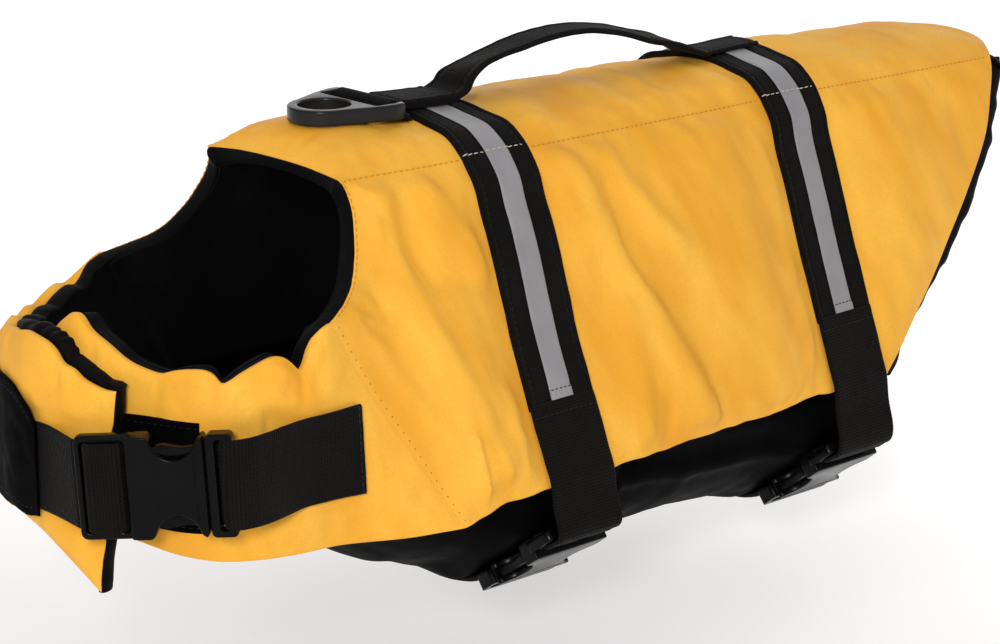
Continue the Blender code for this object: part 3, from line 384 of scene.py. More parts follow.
# ---- camera ------------------------------------------------------------------------
def add_camera():
    """43 degrees round from the flank, 16 degrees down, through a long lens."""
    psi, eps = math.radians(43.0), math.radians(16.0)
    right = Vector((math.cos(psi), -math.sin(psi), 0.0))
    up = Vector((math.sin(psi) * math.sin(eps), math.cos(psi) * math.sin(eps), math.cos(eps)))
    ahead = Vector((math.sin(psi) * math.cos(eps), math.cos(psi) * math.cos(eps), -math.sin(eps)))
    focal, depth = 3450.0, 1580.0  # pixels, mm
    u, v = 418.0, 103.0  # where the pattern's origin falls in a frame of 1000 x 644
    centre = -(right * (u - 500.0) / focal * depth + up * (322.0 - v) / focal * depth + ahead * depth)
    cam = bpy.data.objects.new("camera", bpy.data.cameras.new("camera"))
    cam.data.lens = 36.0 * focal / 1000.0
    cam.data.sensor_width = 36.0
    cam.data.clip_start, cam.data.clip_end = 0.05, 50.0
    m = Matrix((right, up, -ahead)).transposed().to_4x4()
    m.translation = (centre - Vector(WEARER)) * MM
    scene.collection.objects.link(cam)
    cam.matrix_world = m
    scene.camera = cam
    return cam


camera = add_camera()


# ---- materials ---------------------------------------------------------------------
class Nodes:
    """Small helper that adds shader nodes and links to one material."""

    def __init__(self, name):
        self.mat = bpy.data.materials.new(name)
        self.mat.use_nodes = True
        self.tree = self.mat.node_tree
        self.bsdf = self.tree.nodes["Principled BSDF"]
        self.place = None

    def add(self, kind, inputs=(), **props):
        node = self.tree.nodes.new(kind)
        for key, value in props.items():
            setattr(node, key, value)
        for key, value in dict(inputs).items():
            self.feed(node.inputs[key], value)
        return node

    def feed(self, socket, value):
        if isinstance(value, bpy.types.NodeSocket):
            self.tree.links.new(value, socket)
        else:
            socket.default_value = value

    def object_coords(self):
        if self.place is None:
            self.place = self.add("ShaderNodeTexCoord").outputs["Object"]
        return self.place

    def uv(self, layer="UVMap"):
        return self.add("ShaderNodeUVMap", uv_map=layer).outputs["UV"]

    def maths(self, op, a, b=0.0, c=0.0):
        return self.add("ShaderNodeMath", {0: a, 1: b, 2: c}, operation=op).outputs[0]

    def noise(self, scale, vector=None, detail=3.0, rough=0.5, distortion=0.0):
        return self.add(
            "ShaderNodeTexNoise",
            {"Vector": vector or self.object_coords(), "Scale": scale, "Detail": detail, "Roughness": rough, "Distortion": distortion},
        ).outputs["Fac"]

    def span(self, value, lo, hi, out_lo=0.0, out_hi=1.0):
        return self.add(
            "ShaderNodeMapRange",
            {"Value": value, "From Min": lo, "From Max": hi, "To Min": out_lo, "To Max": out_hi},
        ).outputs["Result"]

    def mix(self, factor, a, b):
        node = self.add("ShaderNodeMix", data_type="RGBA")
        self.feed(node.inputs[0], factor)
        self.feed(node.inputs[6], a)
        self.feed(node.inputs[7], b)
        return node.outputs[2]

    def bump(self, height, strength, distance, normal=None):
        node = self.add("ShaderNodeBump", {"Height": height, "Strength": strength, "Distance": distance})
        if normal is not None:
            self.feed(node.inputs["Normal"], normal)
        return node.outputs["Normal"]

    def weave(self, pitch_u, pitch_v, vector):
        """Height 0..1 of a plain weave: two sets of threads that pass over each other."""
        sep = self.add("ShaderNodeSeparateXYZ", {0: vector})
        u = self.maths("MULTIPLY", sep.outputs[0], 2 * math.pi / pitch_u)
        v = self.maths("MULTIPLY", sep.outputs[1], 2 * math.pi / pitch_v)
        su = self.maths("SINE", u)
        sv = self.maths("SINE", v)
        product = self.maths("MULTIPLY", su, sv)
        return self.span(product, -1.0, 1.0)


def colour(r, g, b):
    return (r, g, b, 1.0)


def yellow_material():
    """Coated woven nylon: an amber with a fine weave, a soft sheen, slight mottling and painted fold light and shade.
    """
    n = Nodes("yellow_nylon_painted_fold_shade")
    # partly random tone, partly painted fold light and shade: lighter yellow and deeper orange streaks, stretched
    # slantwise the way the folds run
    fold_shade_slant = n.add("ShaderNodeMapping", {"Vector": n.object_coords()}, vector_type="TEXTURE")
    fold_shade_slant.inputs["Rotation"].default_value = (0.0, math.radians(-21.0), 0.0)
    fold_shade_slant.inputs["Scale"].default_value = (1.0, 1.6, 4.0)
    patches = n.noise(42.0, fold_shade_slant.outputs["Vector"], detail=2.5, rough=0.5)
    grain = n.noise(900.0, detail=2.0)
    base = n.mix(n.span(patches, 0.34, 0.66), colour(0.815, 0.368, 0.032), colour(0.925, 0.487, 0.062))
    base = n.mix(n.span(grain, 0.3, 0.7, 0.0, 0.22), base, colour(0.68, 0.29, 0.018))
    n.feed(n.bsdf.inputs["Base Color"], base)
    rough = n.span(n.noise(60.0, detail=2.0), 0.3, 0.7, 0.46, 0.58)
    n.feed(n.bsdf.inputs["Roughness"], rough)
    n.bsdf.inputs["Specular IOR Level"].default_value = 0.10
    weave = n.weave(0.0011, 0.0011, n.uv())
    crinkle = n.noise(260.0, detail=4.0, rough=0.6)
    normal = n.bump(weave, 0.25, 0.00012)
    normal = n.bump(crinkle, 0.18, 0.0006, normal)
    n.feed(n.bsdf.inputs["Normal"], normal)
    return n.mat


def lining_material():
    """Black fine mesh with a silky face."""
    n = Nodes("black_mesh_lining")
    patches = n.noise(30.0, detail=3.0)
    base = n.mix(n.span(patches, 0.3, 0.7), colour(0.0016, 0.0015, 0.0017), colour(0.0040, 0.0036, 0.0042))
    n.feed(n.bsdf.inputs["Base Color"], base)
    n.feed(n.bsdf.inputs["Roughness"], n.span(n.noise(140.0), 0.3, 0.7, 0.56, 0.70))
    n.bsdf.inputs["Specular IOR Level"].default_value = 0.05
    n.bsdf.inputs["Sheen Weight"].default_value = 0.012
    n.bsdf.inputs["Sheen Roughness"].default_value = 0.35
    n.bsdf.inputs["Sheen Tint"].default_value = colour(0.62, 0.55, 0.72)
    weave = n.weave(0.0014, 0.0014, n.uv())
    normal = n.bump(weave, 0.30, 0.00015)
    normal = n.bump(n.noise(180.0, detail=3.0), 0.25, 0.0008, normal)
    n.feed(n.bsdf.inputs["Normal"], normal)
    return n.mat


def belly_material():
    """Black laminated cloth of the belly panel, smooth with a soft gloss."""
    n = Nodes("black_belly_cloth")
    patches = n.noise(26.0, detail=3.0)
    base = n.mix(n.span(patches, 0.3, 0.7), colour(0.0008, 0.0007, 0.0007), colour(0.0019, 0.0016, 0.0016))
    n.feed(n.bsdf.inputs["Base Color"], base)
    n.feed(n.bsdf.inputs["Roughness"], n.span(n.noise(90.0), 0.3, 0.7, 0.55, 0.68))
    n.bsdf.inputs["Specular IOR Level"].default_value = 0.02
    weave = n.weave(0.0012, 0.0012, n.uv())
    normal = n.bump(weave, 0.2, 0.00012)
    normal = n.bump(n.noise(120.0, detail=3.0), 0.22, 0.0008, normal)
    n.feed(n.bsdf.inputs["Normal"], normal)
    return n.mat


def webbing_material(name, pitch, strength, lift=1.0):
    """Ribbed polyester webbing. UV runs across the strap in u and along it in v."""
    n = Nodes(name)
    vector = n.uv()
    sep = n.add("ShaderNodeSeparateXYZ", {0: vector})
    along_it = n.maths("MULTIPLY", sep.outputs[1], 2 * math.pi / pitch)
    across = n.maths("MULTIPLY", sep.outputs[0], 2 * math.pi / (pitch * 1.3))
    shift = n.maths("MULTIPLY", n.maths("SINE", across), 0.9)
    rib_height_and_shade = n.span(n.maths("SINE", n.maths("ADD", along_it, shift)), -1.0, 1.0)
    fuzz = n.noise(700.0, detail=2.0)
    patches = n.noise(35.0, detail=3.0)
    # painted shade: the base colour follows the ribs' height, darker in the grooves between them and lighter on the
    # crests, over random tone
    dark = colour(0.0018 * lift, 0.0016 * lift, 0.0015 * lift)
    light = colour(0.0078 * lift, 0.0064 * lift, 0.0057 * lift)
    amount = n.maths("MULTIPLY_ADD", rib_height_and_shade, 0.65, n.span(patches, 0.3, 0.7, 0.0, 0.35))
    n.feed(n.bsdf.inputs["Base Color"], n.mix(amount, dark, light))
    n.feed(n.bsdf.inputs["Roughness"], n.span(fuzz, 0.3, 0.7, 0.64, 0.82))
    n.bsdf.inputs["Specular IOR Level"].default_value = 0.08
    n.bsdf.inputs["Sheen Weight"].default_value = 0.015
    n.bsdf.inputs["Sheen Roughness"].default_value = 0.4
    normal = n.bump(rib_height_and_shade, strength, 0.00035)
    normal = n.bump(fuzz, 0.2, 0.0004, normal)
    n.feed(n.bsdf.inputs["Normal"], normal)
    return n.mat


def tape_material():
    """Retroreflective tape: a fine bead texture over silver grey."""
    n = Nodes("grey_reflective_tape")
    beads = n.add("ShaderNodeTexVoronoi", {"Vector": n.object_coords(), "Scale": 1500.0}).outputs["Distance"]
    patches = n.noise(45.0, detail=3.0)
    base = n.mix(n.span(patches, 0.3, 0.7), colour(0.255, 0.247, 0.257), colour(0.300, 0.292, 0.302))
    n.feed(n.bsdf.inputs["Base Color"], base)
    n.bsdf.inputs["Roughness"].default_value = 0.42
    n.bsdf.inputs["Specular IOR Level"].default_value = 0.5
    n.bsdf.inputs["Metallic"].default_value = 0.15
    normal = n.bump(n.span(beads, 0.0, 0.6), 0.12, 0.0002)
    n.feed(n.bsdf.inputs["Normal"], normal)
    return n.mat


def plastic_material(name, dark, light, gloss):
    """Black moulded acetal with a fine spark-eroded texture and faint wear."""
    n = Nodes(name)
    wear = n.noise(55.0, detail=4.0, rough=0.6)
    base = n.mix(n.span(wear, 0.35, 0.7), colour(dark, dark, dark), colour(light, light, 1.03 * light))
    n.feed(n.bsdf.inputs["Base Color"], base)
    n.feed(n.bsdf.inputs["Roughness"], n.span(wear, 0.3, 0.7, 0.20, 0.30))
    n.bsdf.inputs["Specular IOR Level"].default_value = gloss
    normal = n.bump(n.noise(1600.0, detail=2.0), 0.10, 0.0002)
    n.feed(n.bsdf.inputs["Normal"], normal)
    return n.mat


def thread_material(name, value, rough=0.6):
    n = Nodes(name)
    twist_height_and_shade = n.add("ShaderNodeTexWave", {"Vector": n.object_coords(), "Scale": 900.0, "Distortion": 1.5}, bands_direction="DIAGONAL").outputs["Fac"]
    # painted shade: the colour follows the twist's bands, darker in its grooves, as the bump does
    dark = tuple(0.8 * c for c in value)
    n.feed(n.bsdf.inputs["Base Color"], n.mix(twist_height_and_shade, colour(*dark), colour(*value)))
    n.bsdf.inputs["Roughness"].default_value = rough
    n.feed(n.bsdf.inputs["Normal"], n.bump(twist_height_and_shade, 0.3, 0.0002))
    return n.mat


YELLOW = yellow_material()
LINING = lining_material()
BELLY_CLOTH = belly_material()
WEBBING = webbing_material("black_ribbed_webbing", 0.00145, 0.9)
WEBBING_FINE = webbing_material("black_fine_webbing", 0.0010, 0.4, 0.85)
TAPE_MAT = tape_material()
PLASTIC = plastic_material("black_acetal", 0.0012, 0.0026, 0.10)
RING_PLASTIC = plastic_material("worn_black_acetal", 0.0085, 0.0125, 0.22)
THREAD_WHITE = thread_material("white_thread", (0.60, 0.54, 0.43))
THREAD_YELLOW = thread_material("amber_thread", (0.58, 0.24, 0.022))
THREAD_BLACK = thread_material("black_thread", (0.0022, 0.0019, 0.0019))
THREAD_BROWN = thread_material("brown_thread", (0.30, 0.125, 0.014))


# ---- meshes ------------------------------------------------------------------------
def to_world(points):
    return (np.asarray(points, float) - np.array(WEARER)) * MM


def make_object(name, verts, faces, mat, uv=None, body="jacket", slot=None, smooth=True, sharp=40.0):
    """A mesh object from pattern points in mm, riding on a body."""
    mesh = bpy.data.meshes.new(name)
    mesh.from_pydata(to_world(verts).tolist(), [], [tuple(int(i) for i in f) for f in faces])
    mesh.materials.append(mat)
    if uv is not None:
        layer = mesh.uv_layers.new(name="UVMap")
        loops = np.empty(len(mesh.loops), int)
        mesh.loops.foreach_get("vertex_index", loops)
        layer.data.foreach_set("uv", (np.asarray(uv, float) * MM)[loops].astype(np.float32).ravel())
    mesh.validate()
    if smooth:
        mesh.shade_smooth()
        mesh.set_sharp_from_angle(angle=math.radians(sharp))
    obj = bpy.data.objects.new(name, mesh)
    scene.collection.objects.link(obj)
    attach(obj, body)
    return obj


def grid_faces(nu, nv, base=0, flip=False):
    i, j = np.meshgrid(np.arange(nu - 1), np.arange(nv - 1), indexing="ij")
    a = base + i * nv + j
    quads = np.stack([a, a + nv, a + nv + 1, a + 1], axis=-1).reshape(-1, 4)
    return quads[:, ::-1] if flip else quads


def shell(name, outer, inner, mat, uv=None, **kw):
    """A closed sheet between an outer and an inner grid of points, [i, j, xyz]. The
    outer grid's faces turn the way of its own u x v."""
    nu, nv = outer.shape[:2]
    n = nu * nv
    verts = np.concatenate([outer.reshape(-1, 3), inner.reshape(-1, 3)])
    index = np.arange(n).reshape(nu, nv)
    rim = np.concatenate([index[:, 0], index[-1, 1:], index[-2::-1, -1], index[0, -2:0:-1]])
    nxt = np.roll(rim, -1)
    walls = np.stack([rim, rim + n, nxt + n, nxt], axis=-1)
    faces = np.concatenate([grid_faces(nu, nv), grid_faces(nu, nv, n, True), walls])
    if uv is not None:
        uv = np.concatenate([uv.reshape(-1, 2), uv.reshape(-1, 2)])
    obj = make_object(name, verts, faces, mat, uv, **kw)
    bm = bmesh.new()
    bm.from_mesh(obj.data)
    bmesh.ops.recalc_face_normals(bm, faces=bm.faces[:])
    bm.to_mesh(obj.data)
    bm.free()
    return obj


def grid_normals(points):
    """Unit normals of a grid of points, [i, j, xyz], along u x v."""
    du = np.gradient(points, axis=0)
    dv = np.gradient(points, axis=1)
    n = np.cross(du, dv)
    return n / np.maximum(np.linalg.norm(n, axis=-1, keepdims=True), 1e-9)


def run_length(points, axis):
    step = np.linalg.norm(np.diff(points, axis=axis), axis=-1)
    out = np.cumsum(step, axis=axis)
    pad = [(0, 0), (0, 0)]
    pad[axis] = (1, 0)
    return np.pad(out, pad)


def cloth_uv(points):
    """UV in mm: the length along each direction of the grid."""
    return np.stack([run_length(points, 0), run_length(points, 1)], axis=-1)


def polyline_at(points, f):
    """Points at the fractions f of a polyline's length."""
    p = np.array(points, float)
    seg = np.linalg.norm(np.diff(p, axis=0), axis=1)
    run = np.concatenate([[0], np.cumsum(seg)])
    d = np.asarray(f, float) * run[-1]
    return np.stack([np.interp(d, run, p[:, k]) for k in range(p.shape[1])], axis=-1)


def coons(top, bottom, start, end):
    """Patch inside four edge polylines sampled at the grid's own stations: top and
    bottom [nu, 2] run along u, start and end [nv, 2] run down along v."""
    nu, nv = len(top), len(start)
    u = np.linspace(0, 1, nu)[:, None, None]
    v = np.linspace(0, 1, nv)[None, :, None]
    p = (1 - v) * top[:, None] + v * bottom[:, None] + (1 - u) * start[None] + u * end[None]
    p = p - (1 - u) * (1 - v) * top[0] - u * (1 - v) * top[-1] - (1 - u) * v * bottom[0] - u * v * bottom[-1]
    return p


def rim_distance(flat):
    """Least distance in the flat pattern from each grid point to the grid's edges."""
    rim = np.concatenate([flat[:, 0], flat[:, -1], flat[0], flat[-1]])
    out = np.full(flat.shape[:2], 1e9)
    for a, b in zip(rim[:-1], rim[1:]):
        ab = b - a
        if np.hypot(*ab) > 12.0:
            continue
        t = np.clip(((flat - a) @ ab) / max(ab @ ab, 1e-9), 0, 1)
        d = np.linalg.norm(flat - (a + t[..., None] * ab), axis=-1)
        out = np.minimum(out, d)
    return out


RNG = np.random.default_rng(7)


def lattice_noise(u, v, cell, seed):
    """Smooth value noise, -1..1, over two coordinates in mm."""
    rng = np.random.default_rng(seed)
    table = rng.uniform(-1, 1, (64, 64))
    x, y = u / cell + 17.3, v / cell + 9.1
    i, j = np.floor(x).astype(int), np.floor(y).astype(int)
    fx, fy = smoothstep(x - i), smoothstep(y - j)
    at = lambda a, b: table[a % 64, b % 64]
    low = at(i, j) * (1 - fx) + at(i + 1, j) * fx
    high = at(i, j + 1) * (1 - fx) + at(i + 1, j + 1) * fx
    return low * (1 - fy) + high * fy


def fold(across, down, line, rise, fall, height, fade=12.0):
    """Height of one soft fold. line gives its crest as rows (down, across); it rises
    over the width 'rise' on the low side and drops over 'fall' on the other."""
    rows = sorted(line)
    crest = through(rows, down)
    u = across - crest
    profile = np.where(u < 0, np.exp(-((u / rise) ** 2)), np.exp(-((u / fall) ** 2)))
    ends = smoothstep((down - rows[0][0] + fade) / fade) * smoothstep((rows[-1][0] + fade - down) / fade)
    return height * profile * ends


def stitches(name, path, normals, mat, pitch=3.2, length=2.3, thick=0.42, lift=0.15, body="jacket"):
    """A row of sewn stitches: short rounded pieces of thread along a path of points."""
    path, normals = np.asarray(path, float), np.asarray(normals, float)
    seg = np.linalg.norm(np.diff(path, axis=0), axis=1)
    run = np.concatenate([[0], np.cumsum(seg)])
    count = max(2, int(run[-1] / pitch))
    verts, faces = [], []
    ring = 6
    profile = [(-0.5, 0.25), (-0.36, 0.85), (0.0, 1.0), (0.36, 0.85), (0.5, 0.25)]
    for k in range(count):
        mid = (k + 0.5) * run[-1] / count
        at = lambda d, table: np.array([np.interp(d, run, table[:, c]) for c in range(3)])
        p, n = at(mid, path), at(mid, normals)
        t = at(mid + 0.4, path) - at(mid - 0.4, path)
        t /= np.linalg.norm(t) + 1e-9
        n = n - t * (n @ t)
        n /= np.linalg.norm(n) + 1e-9
        b = np.cross(t, n)
        base = len(verts)
        for f, r in profile:
            sink = -0.35 * thick * (abs(f) * 2) ** 2
            for m in range(ring):
                a = 2 * math.pi * m / ring
                verts.append(p + t * f * length + n * (lift + sink + 0.5 * thick * r * math.sin(a)) + b * 0.5 * thick * r * math.cos(a))
        for i in range(len(profile) - 1):
            for m in range(ring):
                a0, a1 = base + i * ring + m, base + i * ring + (m + 1) % ring
                faces.append((a0, a1, a1 + ring, a0 + ring))
        faces.append(tuple(base + m for m in range(ring))[::-1])
        faces.append(tuple(base + (len(profile) - 1) * ring + m for m in range(ring)))
    mesh_verts = np.array(verts)
    return make_object(name, mesh_verts, faces, mat, body=body)


# ---- the cover's folds -------------------------------------------------------------
# Crest lines on a side panel as rows (z, x), with how far the cloth rises to the crest
# from the head's side, falls behind it, and how high it is, mm.
SIDE_FOLDS = (
    (((-20.0, -72.0), (-50.0, -71.0), (-75.0, -66.0), (-95.0, -59.0), (-115.0, -51.0), (-143.0, -42.0)), 15.0, 8.0, 2.6),
    (((-24.0, -45.0), (-40.0, -36.0), (-60.0, -25.0)), 12.0, 7.0, 1.6),
    (((-72.0, -50.0), (-100.0, -41.0), (-130.0, -30.0), (-147.0, -26.0)), 10.0, 12.0, 1.5),
    (((-64.0, -109.0), (-80.0, -95.0), (-100.0, -84.0), (-125.0, -70.0), (-148.0, -59.0)), 6.0, 8.0, 1.1),
    (((-20.0, 37.0), (-40.0, 43.0), (-62.0, 51.0), (-82.0, 60.0), (-100.0, 68.0), (-125.0, 79.0), (-146.0, 85.0)), 14.0, 10.0, 2.7),
    (((-19.0, 61.0), (-34.0, 68.0), (-50.0, 79.0), (-68.0, 92.0)), 9.0, 8.0, 1.7),
    (((-92.0, 49.0), (-115.0, 49.0), (-150.0, 47.0)), 7.0, 7.0, 1.4),
    (((-20.0, 135.0), (-80.0, 139.0), (-148.0, 142.0)), 30.0, 16.0, 1.8),
    (((-30.0, 262.0), (-80.0, 258.0), (-130.0, 249.0)), 22.0, 26.0, 1.5),
)
# Short sharp pleats, the same columns.
SIDE_PLEATS = (
    (((-128.0, -56.5), (-141.0, -55.0), (-156.0, -53.0)), 3.4, 2.0, 2.3),
    (((-136.0, -44.0), (-152.0, -40.0)), 3.0, 2.4, 1.0),
    (((-137.0, 70.0), (-153.0, 68.0)), 3.4, 3.0, 1.1),
    (((-138.0, 91.0), (-153.0, 94.0)), 3.0, 3.4, 1.4),
    (((-143.0, 118.0), (-149.0, 126.0), (-155.0, 138.0)), 4.0, 2.6, 1.5),
    (((-128.0, 229.0), (-138.0, 235.0), (-150.0, 243.0)), 4.0, 3.4, 1.2),
    (((-60.0, -112.0), (-66.0, -100.0), (-72.0, -92.0)), 4.0, 3.2, 1.3),
    (((-56.0, -100.0), (-62.0, -93.0), (-70.0, -90.0)), 3.5, 3.0, 0.9),
)


def strap_mask(x, reach=13.0):
    """0 where a strap holds the cover down, 1 well clear of it."""
    out = np.ones_like(np.asarray(x, float))
    for x0 in STRAP_X:
        out = out * smoothstep((np.abs(x - x0) - WEBBING_W / 2 - 0.5) / reach)
    return out


def puckers(along_edge, from_edge, seed, spread=12.0, size=0.9, reach=9.0, slant=0.25, width=3.0):
    """Little gathers that run out from a sewn edge."""
    rng = np.random.default_rng(seed)
    lo, hi = float(along_edge.min()), float(along_edge.max())
    out = np.zeros_like(along_edge)
    x = lo + 4.0
    while x < hi:
        h = size * rng.uniform(0.4, 1.2)
        w = width * rng.uniform(0.7, 1.5)
        lean = slant * rng.uniform(-1.2, 1.4)
        far = reach * rng.uniform(0.6, 1.5)
        u = along_edge - x - lean * from_edge
        out += h * np.exp(-((u / w) ** 2)) * np.exp(-from_edge / far) * smoothstep((from_edge + 0.5) / 2.5)
        x += spread * rng.uniform(0.5, 1.6)
    return out


def side_relief(x, z, d, side):
    """How far the cover of a side panel stands off its pattern, mm."""
    shift = 0.0 if side < 0 else 9.0
    out = np.zeros_like(x)
    for line, rise, fall, height in SIDE_FOLDS:
        out += fold(x - shift * math.sin(height * 9), z, line, rise, fall, height * (2.3 if side < 0 else 1.8))
    for line, rise, fall, height in SIDE_PLEATS:
        out += fold(x + shift, z, line, rise, fall, height, 5.0)
    out += 0.55 * lattice_noise(x + 0.35 * z, 0.6 * z, 36.0, 3 + side) + 0.16 * lattice_noise(x + 0.4 * z, 0.5 * z, 13.0, 11 + side)
    out += 1.5 * smoothstep(d / 26.0)
    mask = strap_mask(x)
    below_seam = np.maximum(through(SECTIONS, x, 1) - z, 0.0)
    out = out * mask * smoothstep((d - 0.5) / 9.0)
    out += puckers(x, below_seam, 21 + side, 12.0, 1.5, 13.0) * (0.15 + 0.85 * mask) * smoothstep((d - 0.6) / 3.0)
    over_hem = np.maximum(z - through(HEM, x), 0.0)
    out += puckers(x, over_hem, 31 + side, 14.0, 1.4, 9.0, 0.3) * mask * smoothstep((d - 0.6) / 3.0)
    from_chest = np.maximum((x - chest_seam_x(z)) * 0.87, 0.0)
    near_chest = z < CHEST_SEAM[0][1]
    out += puckers(z, from_chest, 41 + side, 8.0, 0.7, 6.0, 0.2, 2.4) * near_chest * smoothstep((d - 0.5) / 3.0)
    return out


def edge_drop(d, full=7.0):
    """Dip and thinning of a padded panel towards its sewn edge: (outer lift, inner lift)."""
    w = np.clip(d / full, 0.0, 1.0)
    round_in = np.sqrt(np.maximum(1 - (1 - w) ** 2, 0.0))
    top = -1.25 * (1 - round_in)
    low = -(PAD_T - 0.4) * round_in - 3.2 * (1 - round_in)
    return top, low


def clustered(n, edge_step=0.35, edge_count=5, length=150.0):
    """n fractions from 0 to 1 with finer steps at both ends."""
    edge = np.array([0.0, 0.3, 0.8, 1.6, 2.8, 4.4])[:edge_count] / length
    inner = np.linspace(edge[-1] + 1.8 / length, 1 - edge[-1] - 1.8 / length, n - 2 * len(edge))
    return np.concatenate([edge, inner, 1 - edge[::-1]])


def resample(p, n, length):
    return polyline_at(p, clustered(n, length=length))


# ---- padded panels -----------------------------------------------------------------
def settle(name, points, normals, pinned, pressure, grow, stiffness, frames=18, cap=3.2):
    """Lets a panel's cover settle: the cloth is a little larger than its frame, held
    where it is sewn and pushed out by the foam. Returns how far each point moved."""
    nu, nv = points.shape[:2]
    mesh = bpy.data.meshes.new(name + "_cloth")
    mesh.from_pydata((points.reshape(-1, 3) * MM).tolist(), [], [tuple(int(k) for k in f) for f in grid_faces(nu, nv)])
    obj = bpy.data.objects.new(name + "_cloth", mesh)
    scene.collection.objects.link(obj)
    if np.sum(grid_normals(points)[nu // 2, nv // 2] * normals[nu // 2, nv // 2]) < 0:
        mesh.flip_normals()
    group = obj.vertex_groups.new(name="pin")
    weights = pinned.reshape(-1)
    for level in (0.2, 0.4, 0.6, 0.8, 1.0):
        picked = np.nonzero(np.abs(weights - level) < 0.1)[0]
        if len(picked):
            group.add(picked.tolist(), level, "REPLACE")
    cloth = obj.modifiers.new("cloth", "CLOTH")
    s = cloth.settings
    s.quality = 5
    s.mass = 0.15
    s.tension_stiffness = s.compression_stiffness = 12.0
    s.shear_stiffness = 6.0
    s.bending_stiffness = stiffness
    s.use_pressure = True
    s.uniform_pressure_force = pressure
    s.shrink_min = -grow
    s.vertex_group_mass = "pin"
    s.pin_stiffness = 1.0
    s.air_damping = 3.0
    s.effector_weights.gravity = 0.0
    cloth.collision_settings.use_collision = False
    cloth.collision_settings.use_self_collision = False
    cloth.point_cache.frame_start, cloth.point_cache.frame_end = 1, frames
    for frame_number in range(1, frames + 1):
        scene.frame_set(frame_number)
    graph = bpy.context.evaluated_depsgraph_get()
    evaluated = obj.evaluated_get(graph)
    moved = np.empty(len(evaluated.data.vertices) * 3, np.float32)
    evaluated.data.vertices.foreach_get("co", moved)
    moved = moved.reshape(points.shape).astype(float) / MM - points
    bpy.data.objects.remove(obj, do_unlink=True)
    bpy.data.meshes.remove(mesh)
    scene.frame_set(1)
    size = np.linalg.norm(moved, axis=-1, keepdims=True)
    if not np.isfinite(size).all() or len(moved) == 0:
        return np.zeros_like(points)
    return moved * (cap * np.tanh(size / cap) / np.maximum(size, 1e-9))


def upsampled(field, nu, nv, us, vs, us0, vs0):
    """A coarse field [i, j, 3] at fractions us0, vs0, read at the finer us, vs."""
    mid = np.stack([np.stack([np.interp(us, us0, field[:, j, c]) for c in range(3)], -1) for j in range(field.shape[1])], 1)
    return np.stack([np.stack([np.interp(vs, vs0, mid[i, :, c]) for c in range(3)], -1) for i in range(len(us))], 0)


def blur(field, times=1):
    for _ in range(times):
        f = np.pad(field, [(1, 1), (1, 1), (0, 0)], mode="edge")
        field = 0.25 * field + 0.125 * (f[:-2, 1:-1] + f[2:, 1:-1] + f[1:-1, :-2] + f[1:-1, 2:]) + 0.0625 * (
            f[:-2, :-2] + f[2:, 2:] + f[:-2, 2:] + f[2:, :-2]
        )
    return field


def pad_piece(name, points, normals, flat, relief, mask, sim=(0.35, 0.02, 1.5), node=None, soft=0.0, cap=3.2):
    """A padded panel: cover points with their normals, the flat pattern, the cover's
    relief and how free the cover is (mask), 0 where something is sewn on top."""
    d = rim_distance(flat)
    top, low = edge_drop(d + soft)
    outer = lifted(points, normals, top + relief)
    inner = lifted(points, normals, low)
    free = mask * smoothstep((d - 1.0) / 6.0)
    pinned = np.round((1 - free) * 5) / 5
    moved = settle(name, outer, normals, pinned, *sim, cap=cap)
    outward = np.sum(moved * normals, -1)
    moved = moved - np.minimum(outward + 1.6, 0.0)[..., None] * normals
    outer = outer + blur(moved, 1) * free[..., None]
    obj = shell(name, outer, inner, YELLOW, cloth_uv(outer), slot="cover")
    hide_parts(node or name)
    return obj, outer


TAIL_BOW = 24.0  # how far the middle of the rear edge stands out behind the seams


def seam_swell(edge):
    """The padding stands up beside the top seams and is drawn down at them."""
    return 1.5 * np.exp(-(((edge - 13.0) / 9.0) ** 2))


def fine_back():
    x0, x1 = -86.0, 358.0
    nu, nv = 168, 62
    x = x0 + (x1 - x0) * clustered(nu, length=x1 - x0)
    s = -0.9995 + 1.999 * clustered(nv, length=100.0)
    x, s = np.meshgrid(x, s, indexing="ij")
    flat = stack(x, s * TOP_RUN)
    bow = TAIL_BOW * (1 - s * s) * smoothstep((x - 250) / (x1 - 250))
    nose = -1.5 * (1 - s * s) * smoothstep((-60 - x) / 26.0)
    xx = x + bow + nose
    points, normals = cover_point(xx, s), cover_normal(xx, s)
    d = rim_distance(flat)
    y = s * TOP_RUN
    relief = 0.2 * smoothstep(d / 20.0)
    relief += 0.45 * lattice_noise(x, y, 34.0, 5) + 0.12 * lattice_noise(x, y, 12.0, 6)
    # a few folds that run across the back between the straps and on the tail
    for xc, slope, width, height in ((52, 0.25, 9, 1.5), (88, -0.2, 11, 1.2), (126, 0.15, 8, 2.0), (160, -0.3, 9, 1.6), (250, 0.2, 14, 0.6), (300, -0.15, 16, -0.9)):
        u = x - xc - slope * y
        relief += height * np.exp(-((u / width) ** 2)) * (0.55 + 0.45 * np.cos(y / 22.0 + xc))
    mask = strap_mask(x)
    handle_zone = 1 - (1 - smoothstep((np.abs(y) - 12.5) / 8.0)) * ((x < 36) | (x > 172)) * ((x > -40) & (x < 236))
    mask = mask * handle_zone
    relief = relief * mask * smoothstep((d - 0.5) / 8.0)
    edge = (1 - np.abs(s)) * TOP_RUN
    relief += seam_swell(edge) * smoothstep((d - 1.0) / 8.0)
    relief -= 1.9 * smoothstep((x - 238) / 34.0) * (1 - s**4)
    relief += puckers(x, edge + 0 * x, 61, 12.0, 0.8, 8.0) * mask * smoothstep((d - 0.6) / 3.0)
    return pad_piece("back_panel", points, normals, flat, relief, mask, soft=1.4 * smoothstep((8.0 - edge) / 8.0), cap=0.9)


